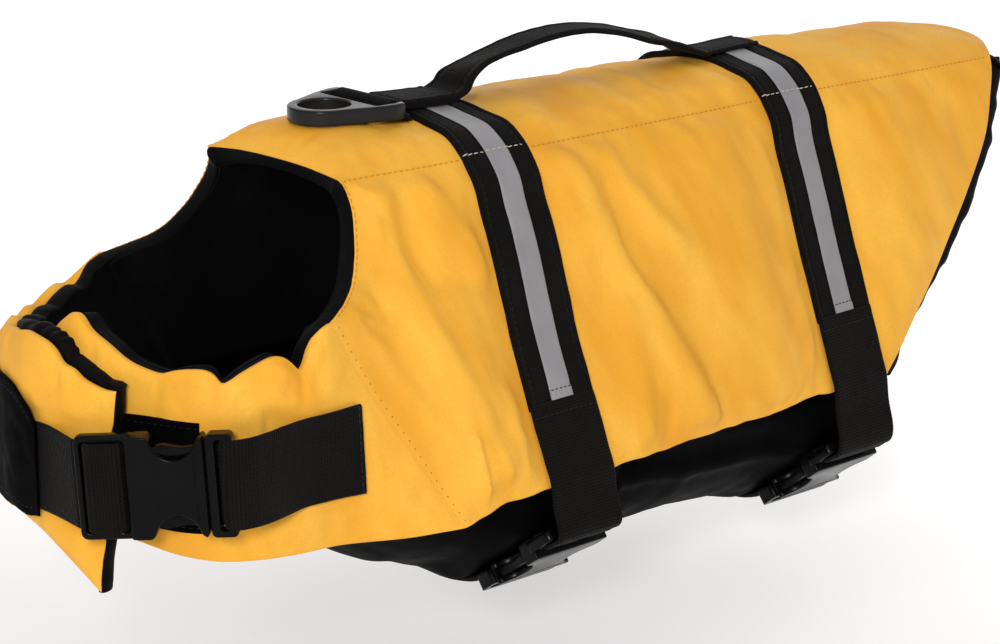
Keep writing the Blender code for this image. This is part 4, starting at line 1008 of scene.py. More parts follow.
def side_flat(nu=172, nv=58):
    n_seam = int(nu * 0.80)
    seam_x = 358.0 + (-86.0 - 358.0) * np.linspace(0, 1, n_seam)
    seam_x[1:7] = 358.0 - np.array([0.3, 0.8, 1.6, 2.8, 4.4, 6.2])
    seam_x[7:] = np.linspace(358.0 - 8.6, -86.0, n_seam - 7)
    seam = stack(seam_x, through(SECTIONS, seam_x, 1) - 0.02)
    neck_curve = [(through([(z, x) for z, x in NECK_EDGE], z), z) for z in np.linspace(-13.6, -64.0, 60)]
    f = np.linspace(0, 1, nu - n_seam + 1)[1:]
    f[-6:-1] = 1 - np.array([6.0, 4.4, 2.8, 1.6, 0.6]) / 75.0
    neck = polyline_at(neck_curve, f)
    top = np.concatenate([seam, neck])
    hem_x = np.linspace(225.0, -66.0, 120)
    waver = 1.3 * lattice_noise(hem_x, 0 * hem_x, 19.0, 7) + 0.5 * lattice_noise(hem_x, 0 * hem_x, 8.0, 8) + 0.5
    clear = smoothstep((hem_x + 66.0) / 10.0) * smoothstep((225.0 - hem_x) / 10.0) * strap_mask(hem_x, 9.0)
    hem = stack(hem_x, through(HEM, hem_x) + waver * clear)
    share = np.concatenate([0.82 * (358.0 - seam_x) / 444.0, 0.82 + 0.18 * f])
    bottom = polyline_at(hem, share)
    vs = clustered(nv, length=150.0)
    start = polyline_at([(through(TAIL_EDGE, z), z) for z in np.linspace(-20.5, -156.0, 60)], vs)
    start[0] = top[0]
    z = CHEST_SEAM[0][1] + (CHEST_SEAM[1][1] - CHEST_SEAM[0][1]) * vs
    end = stack(chest_seam_x(z) + 0.02, z)
    # the patch keeps the stations' own spacing
    u = share[:, None, None]
    v = vs[None, :, None]
    p = (1 - v) * top[:, None] + v * bottom[:, None] + (1 - u) * start[None] + u * end[None]
    return p - (1 - u) * (1 - v) * top[0] - u * (1 - v) * top[-1] - (1 - u) * v * bottom[0] - u * v * bottom[-1]


SIDE_FLAT = side_flat()


def fine_side(name, side):
    x, z = SIDE_FLAT[..., 0], SIDE_FLAT[..., 1]
    s = s_at(x, z, side)
    points, normals = cover_point(x, s), cover_normal(x, s)
    d = rim_distance(SIDE_FLAT)
    relief = side_relief(x, z, d, side)
    from_chest = np.abs(x - chest_seam_x(z)) * 0.87 + 50.0 * (z > CHEST_SEAM[0][1])
    below_seam = np.maximum(through(SECTIONS, x, 1) - z, 0.0)
    soft = 3.2 * smoothstep((9.0 - from_chest) / 9.0) + 1.4 * smoothstep((8.0 - below_seam) / 8.0)
    relief += seam_swell(1.05 * below_seam) * smoothstep((d - 1.0) / 8.0)
    return pad_piece(name, points, normals, SIDE_FLAT, relief, strap_mask(x, 9.0), soft=soft, cap=2.4)


# Top edge of the left band with the two gathers at the side of the neck.
LEFT_TOP = (
    (-8.0, -63.6), (0.0, -66.5), (4.0, -71.0), (8.0, -79.0), (10.5, -81.0), (14.0, -77.5), (18.0, -74.2), (23.0, -73.2),
    (30.0, -75.3), (38.0, -78.8), (44.0, -82.0), (47.0, -82.6), (50.0, -79.2), (54.0, -77.3), (62.0, -77.3), (70.0, -78.8),
    (76.0, -80.6), (85.0, -79.5), (94.0, -76.6), (106.0, -70.6), (118.0, -65.7), (128.0, -60.0), (138.0, -64.5), (150.0, -73.0),
    (162.0, -80.5), (175.0, -87.0),
)
RIGHT_TOP = (
    (-8.0, -63.6), (0.0, -67.5), (6.0, -71.0), (14.0, -74.5), (20.0, -73.6), (30.0, -76.6), (37.0, -79.0), (46.0, -78.0),
    (54.0, -79.8), (64.0, -77.4), (72.0, -78.4), (85.0, -75.0), (93.0, -74.8), (100.0, -72.4), (108.0, -72.3), (117.0, -69.6),
    (128.0, -69.8), (135.0, -70.9), (140.5, -73.4), (145.0, -77.6), (152.0, -79.6), (157.0, -82.6), (162.6, -84.6), (170.0, -86.4),
    (175.0, -86.0),
)
# Where the bands' top edges are gathered: a, and how deep the crease below it is.
GATHERS = {-1: ((10.0, 2.2), (46.5, 2.0), (76.0, 1.2), (92.0, 1.0), (112.0, 1.0)), 1: ((14.0, 1.4), (38.0, 1.2), (54.0, 1.2), (70.0, 1.0), (92.0, 0.9), (105.0, 0.9), (145.0, 1.4), (158.0, 0.9))}


def band_flat(side, nu=128, nv=50):
    top_rows = RIGHT_TOP if side > 0 else LEFT_TOP
    tops = np.linspace(-8.0, BAND_END_A[0], 160)
    lows = np.linspace(-64.0, BAND_END_A[1], 160)
    column = 1 if side > 0 else 2
    top_line, low_line = stack(tops, through(top_rows, tops)), stack(lows, through(BAND_BOTTOM, lows, column))
    vs = clustered(nv, length=95.0)
    z = CHEST_SEAM[0][1] + (CHEST_SEAM[1][1] - CHEST_SEAM[0][1]) * vs
    start = stack(RING_X - chest_seam_x(z) + 0.02, z)
    top_line[0], low_line[0] = start[0], start[-1]
    us = clustered(nu, length=215.0)
    top, bottom = polyline_at(top_line, us), polyline_at(low_line, us)
    end = top[-1] + (bottom[-1] - top[-1]) * vs[:, None]
    if side > 0:
        end = end + np.stack([0.9 * np.sin(vs * 19.0) * np.sin(vs * math.pi), 0 * vs], -1)
    u, v = us[:, None, None], vs[None, :, None]
    p = (1 - v) * top[:, None] + v * bottom[:, None] + (1 - u) * start[None] + u * end[None]
    return p - (1 - u) * (1 - v) * top[0] - u * (1 - v) * top[-1] - (1 - u) * v * bottom[0] - u * v * bottom[-1]


def band_relief(a, z, d, side):
    top_rows = RIGHT_TOP if side > 0 else LEFT_TOP
    below = np.maximum(through(top_rows, a) - z, 0.0)
    strap_z = NECK_STRAP_Z[side]
    held = 1 - (1 - smoothstep((np.abs(z - strap_z) - WEBBING_W / 2 - 1.0) / 8.0)) * (a > -22.0)
    if side < 0:
        held = 1 - (1 - smoothstep((np.abs(z - strap_z) - WEBBING_W / 2 - 1.0) / 8.0)) * ((a > -26.0) & (a < 30.0))
        # the left band is slim where the right one lies on it
        held = held * (1 - 0.6 * smoothstep((a - 70.0) / 14.0))
    out = 1.5 * smoothstep(d / 18.0)
    out += 0.7 * lattice_noise(a, z, 26.0, 71 + side) + 0.25 * lattice_noise(a, z, 10.0, 73 + side)
    out = out * held
    for a0, depth in GATHERS[side]:
        u = a - a0 - 0.12 * below
        crease = -depth * np.exp(-((u / 2.2) ** 2)) * np.exp(-below / 11.0)
        swell = 0.7 * depth * (np.exp(-(((u - 8.0) / 6.0) ** 2)) + np.exp(-(((u + 8.0) / 6.0) ** 2))) * np.exp(-below / 9.0)
        out += (crease + swell) * (0.4 + 0.6 * held)
    out += puckers(a, below, 81 + side, 9.0, 0.8, 7.0, 0.2, 2.6) * (0.3 + 0.7 * held) * (a > 0)
    column = 1 if side > 0 else 2
    above = np.maximum(z - through(BAND_BOTTOM, a, column), 0.0)
    out += puckers(a, above, 91 + side, 14.0, 0.7, 6.0, 0.2, 3.0) * held
    return out * smoothstep((d - 0.4) / 4.0), held


def fine_band(name, side):
    flat = band_flat(side)
    a, z = flat[..., 0], flat[..., 1]
    points, normals = band_point(a, z, side), band_normal(a, z, side)
    d = rim_distance(flat)
    relief, held = band_relief(a, z, d, side)
    from_chest = np.abs(RING_X - a - chest_seam_x(z)) * 0.87 + 50.0 * (a > 8.0)
    soft = 3.2 * smoothstep((9.0 - from_chest) / 9.0)
    return pad_piece(name, points, normals, flat, relief, held, (0.25, 0.015, 1.2), soft=soft, cap=2.0)


back, BACK_SKIN = fine_back()
side_left, LEFT_SKIN = fine_side("side_panel_left", -1)
side_right, RIGHT_SKIN = fine_side("side_panel_right", 1)
band_left, BAND_L_SKIN = fine_band("neck_band_left", -1)
band_right, BAND_R_SKIN = fine_band("neck_band_right", 1)


# ---- lining ------------------------------------------------------------------------
def neck_x(z):
    """Front edge of the body at a height: the neck curve, then the chest seam."""
    curve = through([(z_, x_) for z_, x_ in NECK_EDGE], z)
    return np.where(z > CHEST_SEAM[0][1], curve, chest_seam_x(z))


def fine_body_lining():
    s = np.concatenate([np.linspace(-1.975, -1.0, 58), np.linspace(-0.96, 0.96, 35), np.linspace(1.0, 1.975, 58)])
    k = clustered(130, length=400.0)
    d = np.abs(s)
    z = -13.6 + (-158.0 + 13.6) * (d - 1)
    # it laps over the bands' lining at the chest seam
    lap = ((d > 1) & (z < CHEST_SEAM[0][1] - 1.0)).astype(float)
    front = np.where(d <= 1, -85.2, neck_x(z) + 0.6 - 2.8 * lap)
    edge = np.where(d <= 1, 357.6 + TAIL_BOW * (1 - np.minimum(d, 1) ** 2), through(TAIL_EDGE, z) - 0.6)
    x = front[None, :] + (edge - front)[None, :] * k[:, None]
    s_grid = np.broadcast_to(s[None, :], x.shape)
    zz = np.where(np.abs(s_grid) > 1, through(SECTIONS, x, 1) + (through(SECTIONS, x, 2) - through(SECTIONS, x, 1)) * (np.abs(s_grid) - 1), 0.0)
    floor_z = through(HEM, x) + 1.0
    s_here = np.where(np.abs(s_grid) > 1, s_at(x, np.maximum(zz, floor_z), np.sign(s_grid)), s_grid)
    run = np.where(np.abs(s_here) <= 1, s_here * TOP_RUN, np.sign(s_here) * (TOP_RUN + (np.abs(s_here) - 1) * SIDE_RUN))
    lift = -PAD_T - 1.6 + 0.5 * lattice_noise(x, run, 24.0, 15) + 0.3 * lattice_noise(x, run, 9.0, 16)
    lift = np.minimum(lift, -PAD_T - 0.9)
    lift = lift - 1.9 * lap[None, :] * (1 - smoothstep((x - front[None, :] - 2.0) / 5.0))
    outer = cover(x, s_here, lift)
    inner = cover(x, s_here, lift - 1.0)
    obj = shell("lining_body", outer, inner, LINING, cloth_uv(outer), slot="lining")
    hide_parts("lining_body")
    return obj


def fine_band_lining(name, side):
    flat = band_flat(side, 100, 40)
    a, z = flat[..., 0], flat[..., 1]
    d = rim_distance(flat)
    lift = -PAD_T - 1.5 + 0.5 * lattice_noise(a, z, 15.0, 25 + side) + 0.35 * lattice_noise(a, z, 6.0, 27 + side)
    ruffle = 0.5 * np.sin(a / 1.9 + 2.0 * lattice_noise(a, z, 12.0, 29)) * np.exp(-np.maximum(through(RIGHT_TOP if side > 0 else LEFT_TOP, a) - z, 0) / 9.0)
    lift = np.minimum(lift + ruffle, -PAD_T - 0.7)
    outer = band(a, z, side, lift)
    inner = band(a, z, side, lift - 1.0)
    obj = shell(name, outer, inner, LINING, cloth_uv(outer), slot="lining")
    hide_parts(name)
    return obj


def strip_size(grid):
    """Width and length in metres of the strip that a grid [along, across] was cut as."""
    return (float(run_length(grid, 1)[:, -1].mean()) / 1000, float(np.median(run_length(grid, 0)[-1])) / 1000)


def rolled_edge(name, path, normal, out, shape, ruffle, mat=None, thick=1.0, shift=None, **kw):
    """The lining turned out over the foam's edge: a ruffled half round roll. shape has
    a row for each path point: how far it stands off the edge, and its lift over the
    cover's edge. ruffle(i) is the gathers' height there."""
    angles = np.radians(np.linspace(-78, 88, 15))
    grid = []
    for i in range(len(path)):
        stand, top = shape[i]
        low = -PAD_T - 1.6
        mid, half = (top + low) / 2, (top - low) / 2
        inward = 0.0 if shift is None else shift[i]
        rows = [(-9.0, low - 0.3), (-4.5, low - 0.1 - 0.35 * inward)]
        mid, top = mid - inward, top - inward
        for ang in angles:
            c, s_ = math.cos(ang), math.sin(ang)
            swell = 1.0 + ruffle[i]
            rows.append((stand * swell * np.sign(c) * abs(c) ** 0.75 - 0.6, mid + half * s_ * (1 + 0.15 * ruffle[i])))
        rows.append((-1.4, top - 0.25))
        sec = np.array(rows)
        grid.append(path[i] + sec[:, :1] * out[i] + sec[:, 1:2] * normal[i])
    outer = np.array(grid)
    n = grid_normals(outer)
    # the sheet's outside is the side away from the foam
    centre = path[:, None, :] + ((-3.0) * out + (-4.8) * normal)[:, None, :]
    sign = np.sign(np.sum((outer - centre) * n, -1).mean())
    inner = outer - n * sign * thick
    obj = shell(name, outer, inner, mat or LINING, cloth_uv(outer), slot="lining", **kw)
    return obj, outer


def path_frame(points, normals, side_ref):
    """Tangent, and the direction off the edge, square to the path and the normals."""
    t = unit(np.gradient(points, axis=0))
    out = unit(np.cross(t, normals))
    if np.sum(out * side_ref) < 0:
        out = -out
    return t, out


fine_body = fine_body_lining()
fine_lining_left = fine_band_lining("lining_neck_left", -1)
fine_lining_right = fine_band_lining("lining_neck_right", 1)


def neck_roll(name, side):
    """Along the neck's edge of one half: from the middle of the back down the side
    panel's neck curve and out along the band's top edge to its free end."""
    s = np.linspace(0.0, 0.97, 26)
    x = -86.0 + -1.5 * (1 - s * s) * smoothstep((-60 + 86.0) / 26.0)
    pts = [cover_point(x, side * s)]
    nrm = [cover_normal(x, side * s)]
    z = np.linspace(-14.6, -62.5, 34)
    xs = through([(z_, x_) for z_, x_ in NECK_EDGE], z)
    pts.append(cover_point(xs, s_at(xs, z, side)))
    nrm.append(cover_normal(xs, s_at(xs, z, side)))
    rows = RIGHT_TOP if side > 0 else LEFT_TOP
    a = np.linspace(-6.5, BAND_END_A[0] - 0.3, 118)
    zt = through(rows, a)
    pts.append(band_point(a, zt, side))
    nrm.append(band_normal(a, zt, side))
    over_a = [np.full(60, -20.0), a]
    if side > 0:
        f = np.linspace(0.03, 1.0, 40)
        ea = BAND_END_A[0] + (BAND_END_A[1] - BAND_END_A[0]) * f + 0.9 * np.sin(f * 19.0) * np.sin(f * math.pi)
        z0, z1 = through(RIGHT_TOP, BAND_END_A[0]), through(BAND_BOTTOM, BAND_END_A[1])
        ez = z0 + (z1 - z0) * f
        pts.append(band_point(ea, ez, side))
        nrm.append(band_normal(ea, ez, side))
        over_a.append(np.full(40, 300.0))
    path, normal = np.concatenate(pts), unit(np.concatenate(nrm))
    over_a = np.concatenate(over_a)
    for _ in range(2):
        normal[1:-1] = unit(normal[:-2] + 2 * normal[1:-1] + normal[2:])
    t, out = path_frame(path, normal, np.tile([[-1.0, 0, 0.3]], (len(path), 1)))
    seg = np.linalg.norm(np.diff(path, axis=0), axis=1)
    run = np.concatenate([[0], np.cumsum(seg)])
    # resample evenly, finely enough for the gathers
    n = int(run[-1] / 0.9)
    even = np.linspace(0, run[-1], n)
    pick = lambda q: np.stack([np.interp(even, run, q[:, c]) for c in range(3)], -1)
    path, normal, out = pick(path), unit(pick(normal)), unit(pick(out))
    over_a = np.interp(even, run, over_a)
    on_band = smoothstep((over_a + 2.0) / 14.0)
    front = smoothstep((over_a - 70.0) / 30.0)
    end_edge = (over_a > 180.0).astype(float)
    rng = np.random.default_rng(5 + side)
    phase = np.cumsum(0.9 * 2 * math.pi / (11.0 + 6.5 * lattice_noise(even, 0 * even, 17.0, 33 + side)))
    gathers = (0.5 + 0.5 * np.sin(phase)) ** 0.7
    strength = 0.35 + 0.65 * (0.5 + 0.5 * lattice_noise(even, 0 * even, 23.0, 37 + side))
    amount = on_band * strength * (0.16 + (0.30 if side > 0 else 0.14) * front) * (1 - 0.75 * end_edge)
    ruffle = (gathers - 0.6) * amount + 0.05 * lattice_noise(even, 0 * even, 7.0, 35) + 0.05 * lattice_noise(even, 0 * even, 3.5, 36)
    stand = 1.2 + on_band * ((0.8 if side > 0 else -1.2) + (1.6 if side > 0 else 0.4) * front) - 1.2 * end_edge
    # a little fuller where the path turns over the top seam
    turn = np.linalg.norm(path - cover_point(-86.0, side * 1.0).reshape(-1)[:3], axis=1)
    stand = stand + 1.3 * np.exp(-((turn / 6.0) ** 2))
    top = -1.3 + 0.3 * on_band * (side > 0) + (0.9 if side > 0 else 0.0) * front * (1 - end_edge)
    shape = np.stack([stand, top + 0.6 * ruffle], -1)
    inward = 5.6 * on_band * smoothstep((178.0 - over_a) / 12.0) if side > 0 else 4.6 * on_band
    obj, grid = rolled_edge(name, path, normal, out, shape, ruffle, shift=inward)
    strip_size(grid)
    return obj


neck_roll("lining_roll_left", -1)
neck_roll("lining_roll_right", 1)


def tail_roll(name, side):
    """The lining's rear edge, which stands a little past the side panel."""
    z = np.linspace(-21.0, -153.0, 110)
    x = through(TAIL_EDGE, z)
    path, normal = cover_point(x, s_at(x, z, side)), cover_normal(x, s_at(x, z, side))
    t, out = path_frame(path, normal, np.tile([[1.0, 0, -0.3]], (len(path), 1)))
    wave = 0.6 * lattice_noise(z, 0 * z, 7.0, 44 + side) + 0.5 * lattice_noise(z, 0 * z, 17.0, 45)
    flap = through(((-18.0, 12.5), (-28.0, 12.5), (-40.0, 10.6), (-60.0, 9.4), (-80.0, 10.0), (-95.0, 8.6), (-112.0, 5.6), (-130.0, 3.0), (-142.0, 2.4), (-149.0, 5.5), (-155.0, 5.0)), z)
    stand = np.maximum(flap + wave * (flap > 1.6), 0.8)
    shape = np.stack([stand, np.full_like(z, -2.6)], -1)
    obj, grid = rolled_edge(name, path, normal, out, shape, 0.12 * lattice_noise(z, 0 * z, 5.0, 46))
    strip_size(grid)
    return obj


def rear_roll():
    s = np.linspace(-0.985, 0.985, 90)
    x = 358.0 + TAIL_BOW * (1 - s * s)
    path, normal = cover_point(x, s), cover_normal(x, s)
    t, out = path_frame(path, normal, np.tile([[1.0, 0, 0.0]], (len(path), 1)))
    corner = smoothstep((np.abs(s) - 0.80) / 0.18)
    stand = -0.8 + 12.6 * corner + 0.3 * lattice_noise(s * 50, 0 * s, 9.0, 47)
    shape = np.stack([stand, -5.2 + 3.4 * corner], -1)
    obj, grid = rolled_edge("lining_roll_rear", path, normal, out, shape, 0.1 * lattice_noise(s * 50, 0 * s, 6.0, 48))
    strip_size(grid)
    return obj


tail_roll("lining_tail_left", -1)
tail_roll("lining_tail_right", 1)
rear_roll()


# ---- where the skins lie, for what is sewn on them ---------------------------------
def tape_uv(points):
    """UV of webbing: u across it and v along it, mm, for a grid [along, across]."""
    return np.stack([run_length(points, 1), run_length(points, 0)], axis=-1)


def smooth_path(points, n):
    """n points evenly along a smooth curve through the given ones."""
    p = np.array([np.asarray(q, float) for q in points])
    seg = np.linalg.norm(np.diff(p, axis=0), axis=1)
    run = np.concatenate([[0], np.cumsum(seg)])
    d = np.linspace(0, run[-1], n)
    return np.stack([through(np.stack([run, p[:, k]], -1), d) for k in range(p.shape[1])], -1)


def webbing_strip(name, under, mat, thick, replaces=(), slot="webbing", round_edge=0.5, flat=None, held="stretched", rests_on=(), wobble=0.25, seed=1, body="jacket", lift=0.0, crown=0.0, normals=None):
    """Webbing from the grid [along, across] of its underside. Its two long edges are
    rounded and it waves a little."""
    nu, nv = under.shape[:2]
    n = grid_normals(under) if normals is None else normals
    if normals is None:
        ref = getattr(webbing_strip, "away", None)
        if ref is not None and np.sum(n * ref) < 0:
            n = -n
    v = run_length(under, 0)
    u = run_length(under, 1)
    width = u[:, -1:]
    rim = np.minimum(u, width - u)
    wave = wobble * lattice_noise(v, u, 16.0, seed) + 0.4 * wobble * lattice_noise(v, u, 6.0, seed + 1)
    sag = round_edge * (1 - np.sqrt(np.clip(1 - (1 - np.clip(rim / 1.1, 0, 1)) ** 2, 0, 1)))
    outer = under + n * (thick + lift + wave - sag + crown * (1 - (2 * u / width - 1) ** 2))[..., None]
    inner = under + n * (lift + np.minimum(wave, 0.1) + 0.25 * sag)[..., None]
    obj = shell(name, outer, inner, mat, tape_uv(under), slot=slot, body=body)
    if replaces:
        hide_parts(*replaces)
    if flat is None:
        flat = (float(width.mean()) / 1000, float(v[-1].mean()) / 1000)
    list(rests_on)
    return obj, outer, n


# ---- belly panel -------------------------------------------------------------------
HEM_Z = -157.0
BELLY_INSIDE = 13.4


def belly_half(x):
    return half_width(x, np.full_like(np.asarray(x, float), HEM_Z)) - BELLY_INSIDE


def belly_point(x, q, lift=0.0):
    """Outer face of the belly panel. q is -1 and 1 at the left and right hem line and
    0 at the bottom; past them it goes up inside the side panels."""
    x, q = np.broadcast_arrays(np.asarray(x, float), np.asarray(q, float))
    side = np.where(q < 0, -1.0, 1.0)
    d = np.abs(q)
    z_up = HEM_Z + (d - 1) * (BELLY_TOP_Z - HEM_Z)
    w = smoothstep(d - 1)
    half = belly_half(x)
    wide = half_width(x, z_up) - BELLY_INSIDE
    y_up = np.minimum(half + (wide - half) * w, wide)
    th = (1 - np.minimum(d, 1.0)) * math.pi / 2
    drop = through(BELLY, x)
    y = np.where(d > 1, y_up, half * np.cos(th))
    z = np.where(d > 1, z_up, HEM_Z - drop * np.sin(th))
    p = stack(x, side * y, z)
    n = unit(stack(0.0 * x, side * np.cos(th) * drop, -np.sin(th) * half + 1e-6))
    n = np.where((d > 1)[..., None], stack(0.0 * x, side, 0.0 * x), n)
    return lifted(p, n, np.broadcast_to(np.asarray(lift, float), x.shape))


def belly_axes(row):
    """Centre and axes of a belly buckle: X to the adjuster, Y across, Z outwards."""
    x0, y, z, slope = row
    a = math.radians(slope)
    ex = np.array((0.0, -math.cos(a), math.sin(a)))
    ez = np.array((0.0, -math.sin(a), -math.cos(a)))
    return np.array((x0, y, z)), ex, np.cross(ez, ex), ez


BELLY_RIDGE = ((20.0, -0.86), (59.0, -0.84), (104.0, -0.78), (146.0, -0.74), (180.0, -0.68), (212.0, -0.62), (231.0, -0.60))


def fine_belly():
    xs = np.concatenate([[-110.0, -109.0, -107.0], np.linspace(-104.0, 226.0, 190), [228.5, 230.2, 231.0]])
    ends = np.linspace(-2.0, -1.0, 16)
    mid = np.linspace(-0.99, 0.99, 131)
    qs = np.concatenate([ends, mid, -ends[::-1]])
    x, q = np.meshgrid(xs, qs, indexing="ij")
    arc = q * 125.0
    low = np.clip(1 - np.abs(q), 0, 1)
    lift = 0.9 * lattice_noise(x, arc, 42.0, 51) + 0.35 * lattice_noise(x, arc, 15.0, 52)
    # the ridge where the panel hangs off the hem and turns under
    ridge = through(BELLY_RIDGE, x)
    for side in (-1, 1):
        u = (q - (ridge if side < 0 else -ridge)) * 125.0 * (1 if side < 0 else -1)
        there = smoothstep((x + 5.0) / 30.0)
        lift += there * (2.6 * np.exp(-((u / 5.5) ** 2)) - 2.4 * np.exp(-(((u + 12.0) / 8.0) ** 2)))
    # soft folds that run from the straps
    for x0, lean, width, height in ((40.0, 0.25, 7.0, 1.6), (72.0, -0.2, 9.0, 1.2), (118.0, 0.3, 8.0, 1.5), (160.0, -0.15, 7.0, 1.6), (183.0, 0.2, 6.0, 1.2), (-30.0, -0.3, 6.0, 1.6), (-56.0, 0.2, 6.0, 1.3), (-80.0, 0.3, 5.0, 1.0)):
        u = x - x0 - lean * arc
        lift += height * np.exp(-((u / width) ** 2)) * np.sin(np.clip(low * 2.2, 0, math.pi / 2)) * (0.6 + 0.4 * np.cos(arc / 31.0 + x0))
    held = np.ones_like(x)
    for x0 in STRAP_X:
        held *= 0.15 + 0.85 * smoothstep((np.abs(x - x0) - 20.5) / 9.0)
    flat_zone = smoothstep((1.0 - np.abs(q)) / 0.05)
    lift = np.clip(lift * held * flat_zone, -4.0, 3.2)
    outer = belly_point(x, q, lift)
    # the left side of the panel is pressed out against the backs of the two buckles
    push = np.zeros_like(outer)
    for row in BELLY_BUCKLES:
        centre, ex, ey, ez = belly_axes(row)
        rel = outer - centre
        bx, by, bz = (rel @ v for v in (ex, ey, ez))
        w = smoothstep((46.0 - np.abs(by)) / 22.0) * smoothstep((bx + 58.0) / 22.0) * smoothstep((44.0 - bx) / 16.0)
        w = w * (np.abs(bz) < 30.0) * (q < 0.0)
        push = push + (w * np.clip(-0.5 - bz, 0.0, 10.0))[..., None] * ez
    outer = outer + push
    inner = belly_point(x, q, np.minimum(lift, 2.0) - 1.4) + push
    obj = shell("belly_panel", outer, inner, BELLY_CLOTH, cloth_uv(outer), slot="lining")
    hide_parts("belly_panel")
    return outer


BELLY_SKIN = fine_belly()


# ---- straps over the back ----------------------------------------------------------
BAND_DOWN_Z = BAND_END_Z


def strap_grid(x0, low_z, half, nu, nv, lift):
    """Grid [along, across] on the cover, from the left side over the back."""
    low = float(s_at(np.array([x0]), np.array([low_z]), 1.0)[0])
    run = TOP_RUN + (low - 1) * SIDE_RUN
    r = np.linspace(-run, run, nu)
    s = np.where(np.abs(r) <= TOP_RUN, r / TOP_RUN, np.sign(r) * (1 + (np.abs(r) - TOP_RUN) / SIDE_RUN))
    dx = np.linspace(-half, half, nv)
    S, X = np.meshgrid(s, x0 + dx, indexing="ij")
    p, n = cover_point(X, S), cover_normal(X, S)
    # the strap turns over the top seams in a wide curve, on the padding beside them
    for _ in range(14):
        n[1:-1] = unit(n[:-2] + 2 * n[1:-1] + n[2:])
        p[1:-1] = 0.25 * (p[:-2] + 2 * p[1:-1] + p[2:])
    edge = np.abs(np.abs(r) - TOP_RUN)
    p = p + n * (1.2 * seam_swell(edge))[:, None, None]
    return lifted(p, n, np.full(S.shape, lift)), n, r, dx


def fine_strap(label, x0, seed):
    # band: webbing with a stitched edge each side and a raised piping at its rim
    nv = 47
    grid, n, r, dx = strap_grid(x0, BAND_DOWN_Z, WEBBING_W / 2, 330, nv, GAP - 0.4)
    u = np.abs(dx)[None, :]
    rim = WEBBING_W / 2 - u
    height = BAND_T + 0.15 * np.ones_like(u)
    height = height + 0.55 * np.exp(-(((rim - 1.1) / 0.9) ** 2))  # piping along the edge
    height = height - 0.55 * np.exp(-(((rim - 3.1) / 0.55) ** 2))  # stitched groove
    height = height - 0.35 * np.exp(-(((u - TAPE_W / 2 - 1.2) / 0.6) ** 2))
    height = height - 1.5 * (1 - np.sqrt(np.clip(1 - (1 - np.clip(rim / 1.3, 0, 1)) ** 2, 0, 1)))
    wave = 0.30 * lattice_noise(r[:, None], dx[None, :], 15.0, seed) + 0.12 * lattice_noise(r[:, None], dx[None, :], 5.0, seed + 1)
    pull = 0.16 * np.sin(r[:, None] * 2 * math.pi / 3.1) * np.exp(-(((rim - 3.1) / 1.0) ** 2))
    edge_shift = 0.35 * lattice_noise(r[:, None], 0 * dx[None, :] + np.sign(dx)[None, :] * 40, 13.0, seed + 2) * smoothstep((u - 14.0) / 5.0)
    outer = grid + n * (height + wave + pull)[..., None]
    outer[..., 0] += edge_shift
    inner = grid + n * (0.1 + np.minimum(wave, 0.0))[..., None]
    inner[..., 0] += edge_shift
    band_obj = shell(f"strap_{label}_band", outer, inner, WEBBING_FINE, tape_uv(grid), slot="webbing")
    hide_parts(f"strap_{label}_band")
    length = float(np.linalg.norm(np.diff(grid[:, nv // 2], axis=0), axis=1).sum()) / 1000
    # tape on it, its lower end turned under with a line of stitches over it
    tgrid, tn, tr, tdx = strap_grid(x0, TAPE_END_Z, TAPE_W / 2, 300, 15, GAP - 0.4 + BAND_T + 0.15)
    tu = np.abs(tdx)[None, :]
    trim = TAPE_W / 2 - tu
    end = (np.abs(tr).max() - np.abs(tr))[:, None]
    th = TAPE_T + 0.15 - 0.5 * (1 - np.sqrt(np.clip(1 - (1 - np.clip(trim / 0.7, 0, 1)) ** 2, 0, 1)))
    twave = 0.30 * lattice_noise(tr[:, None], tdx[None, :], 15.0, seed) + 0.12 * lattice_noise(tr[:, None], tdx[None, :], 5.0, seed + 1)
    th = th + 0.45 * (1 - smoothstep((end - 4.2) / 0.8)) - 0.5 * np.exp(-(((end - 4.9) / 0.5) ** 2))
    touter = tgrid + tn * (th + twave)[..., None]
    tinner = tgrid + tn * (twave + 0.05)[..., None]
    tape = shell(f"reflector_{label}", touter, tinner, TAPE_MAT, tape_uv(tgrid), slot="tape")
    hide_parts(f"reflector_{label}")
    tlen = float(np.linalg.norm(np.diff(tgrid[:, 7], axis=0), axis=1).sum()) / 1000
    # stitches: black rows by the piping, white ones across, and black ones across the tape's end
    for side in (-1, 1):
        c = int(np.argmin(np.abs(dx - side * (WEBBING_W / 2 - 3.1))))
        stitches(f"stitch_{label}_edge_{'l' if side < 0 else 'r'}", outer[:, c], n[:, c], THREAD_BLACK, 3.0, 2.3, 0.36, -0.08)
    for side in (-1, 1):
        k = int(np.argmin(np.abs(r - side * (TOP_RUN + 0.6))))
        line, nn = outer[k].copy(), n[k]
        over = np.abs(dx) < TAPE_W / 2
        line = line + nn * np.where(over, TAPE_T + 0.25, 0.1)[:, None]
        stitches(f"stitch_{label}_seam_{'l' if side < 0 else 'r'}", line, nn, THREAD_WHITE, 3.4, 2.5, 0.55, 0.15)
        # end of the tape
        k = int(np.argmin(np.abs(tr - side * (np.abs(tr).max() - 4.9))))
        stitches(f"stitch_{label}_end_{'l' if side < 0 else 'r'}", touter[k], tn[k], THREAD_BLACK, 2.2, 1.8, 0.45, 0.1)
    return outer, n, r, dx


STRAPS = {}
for label, strap_x, seed in (("front", STRAP_X[0], 101), ("rear", STRAP_X[1], 111)):
    STRAPS[label] = fine_strap(label, strap_x, seed)


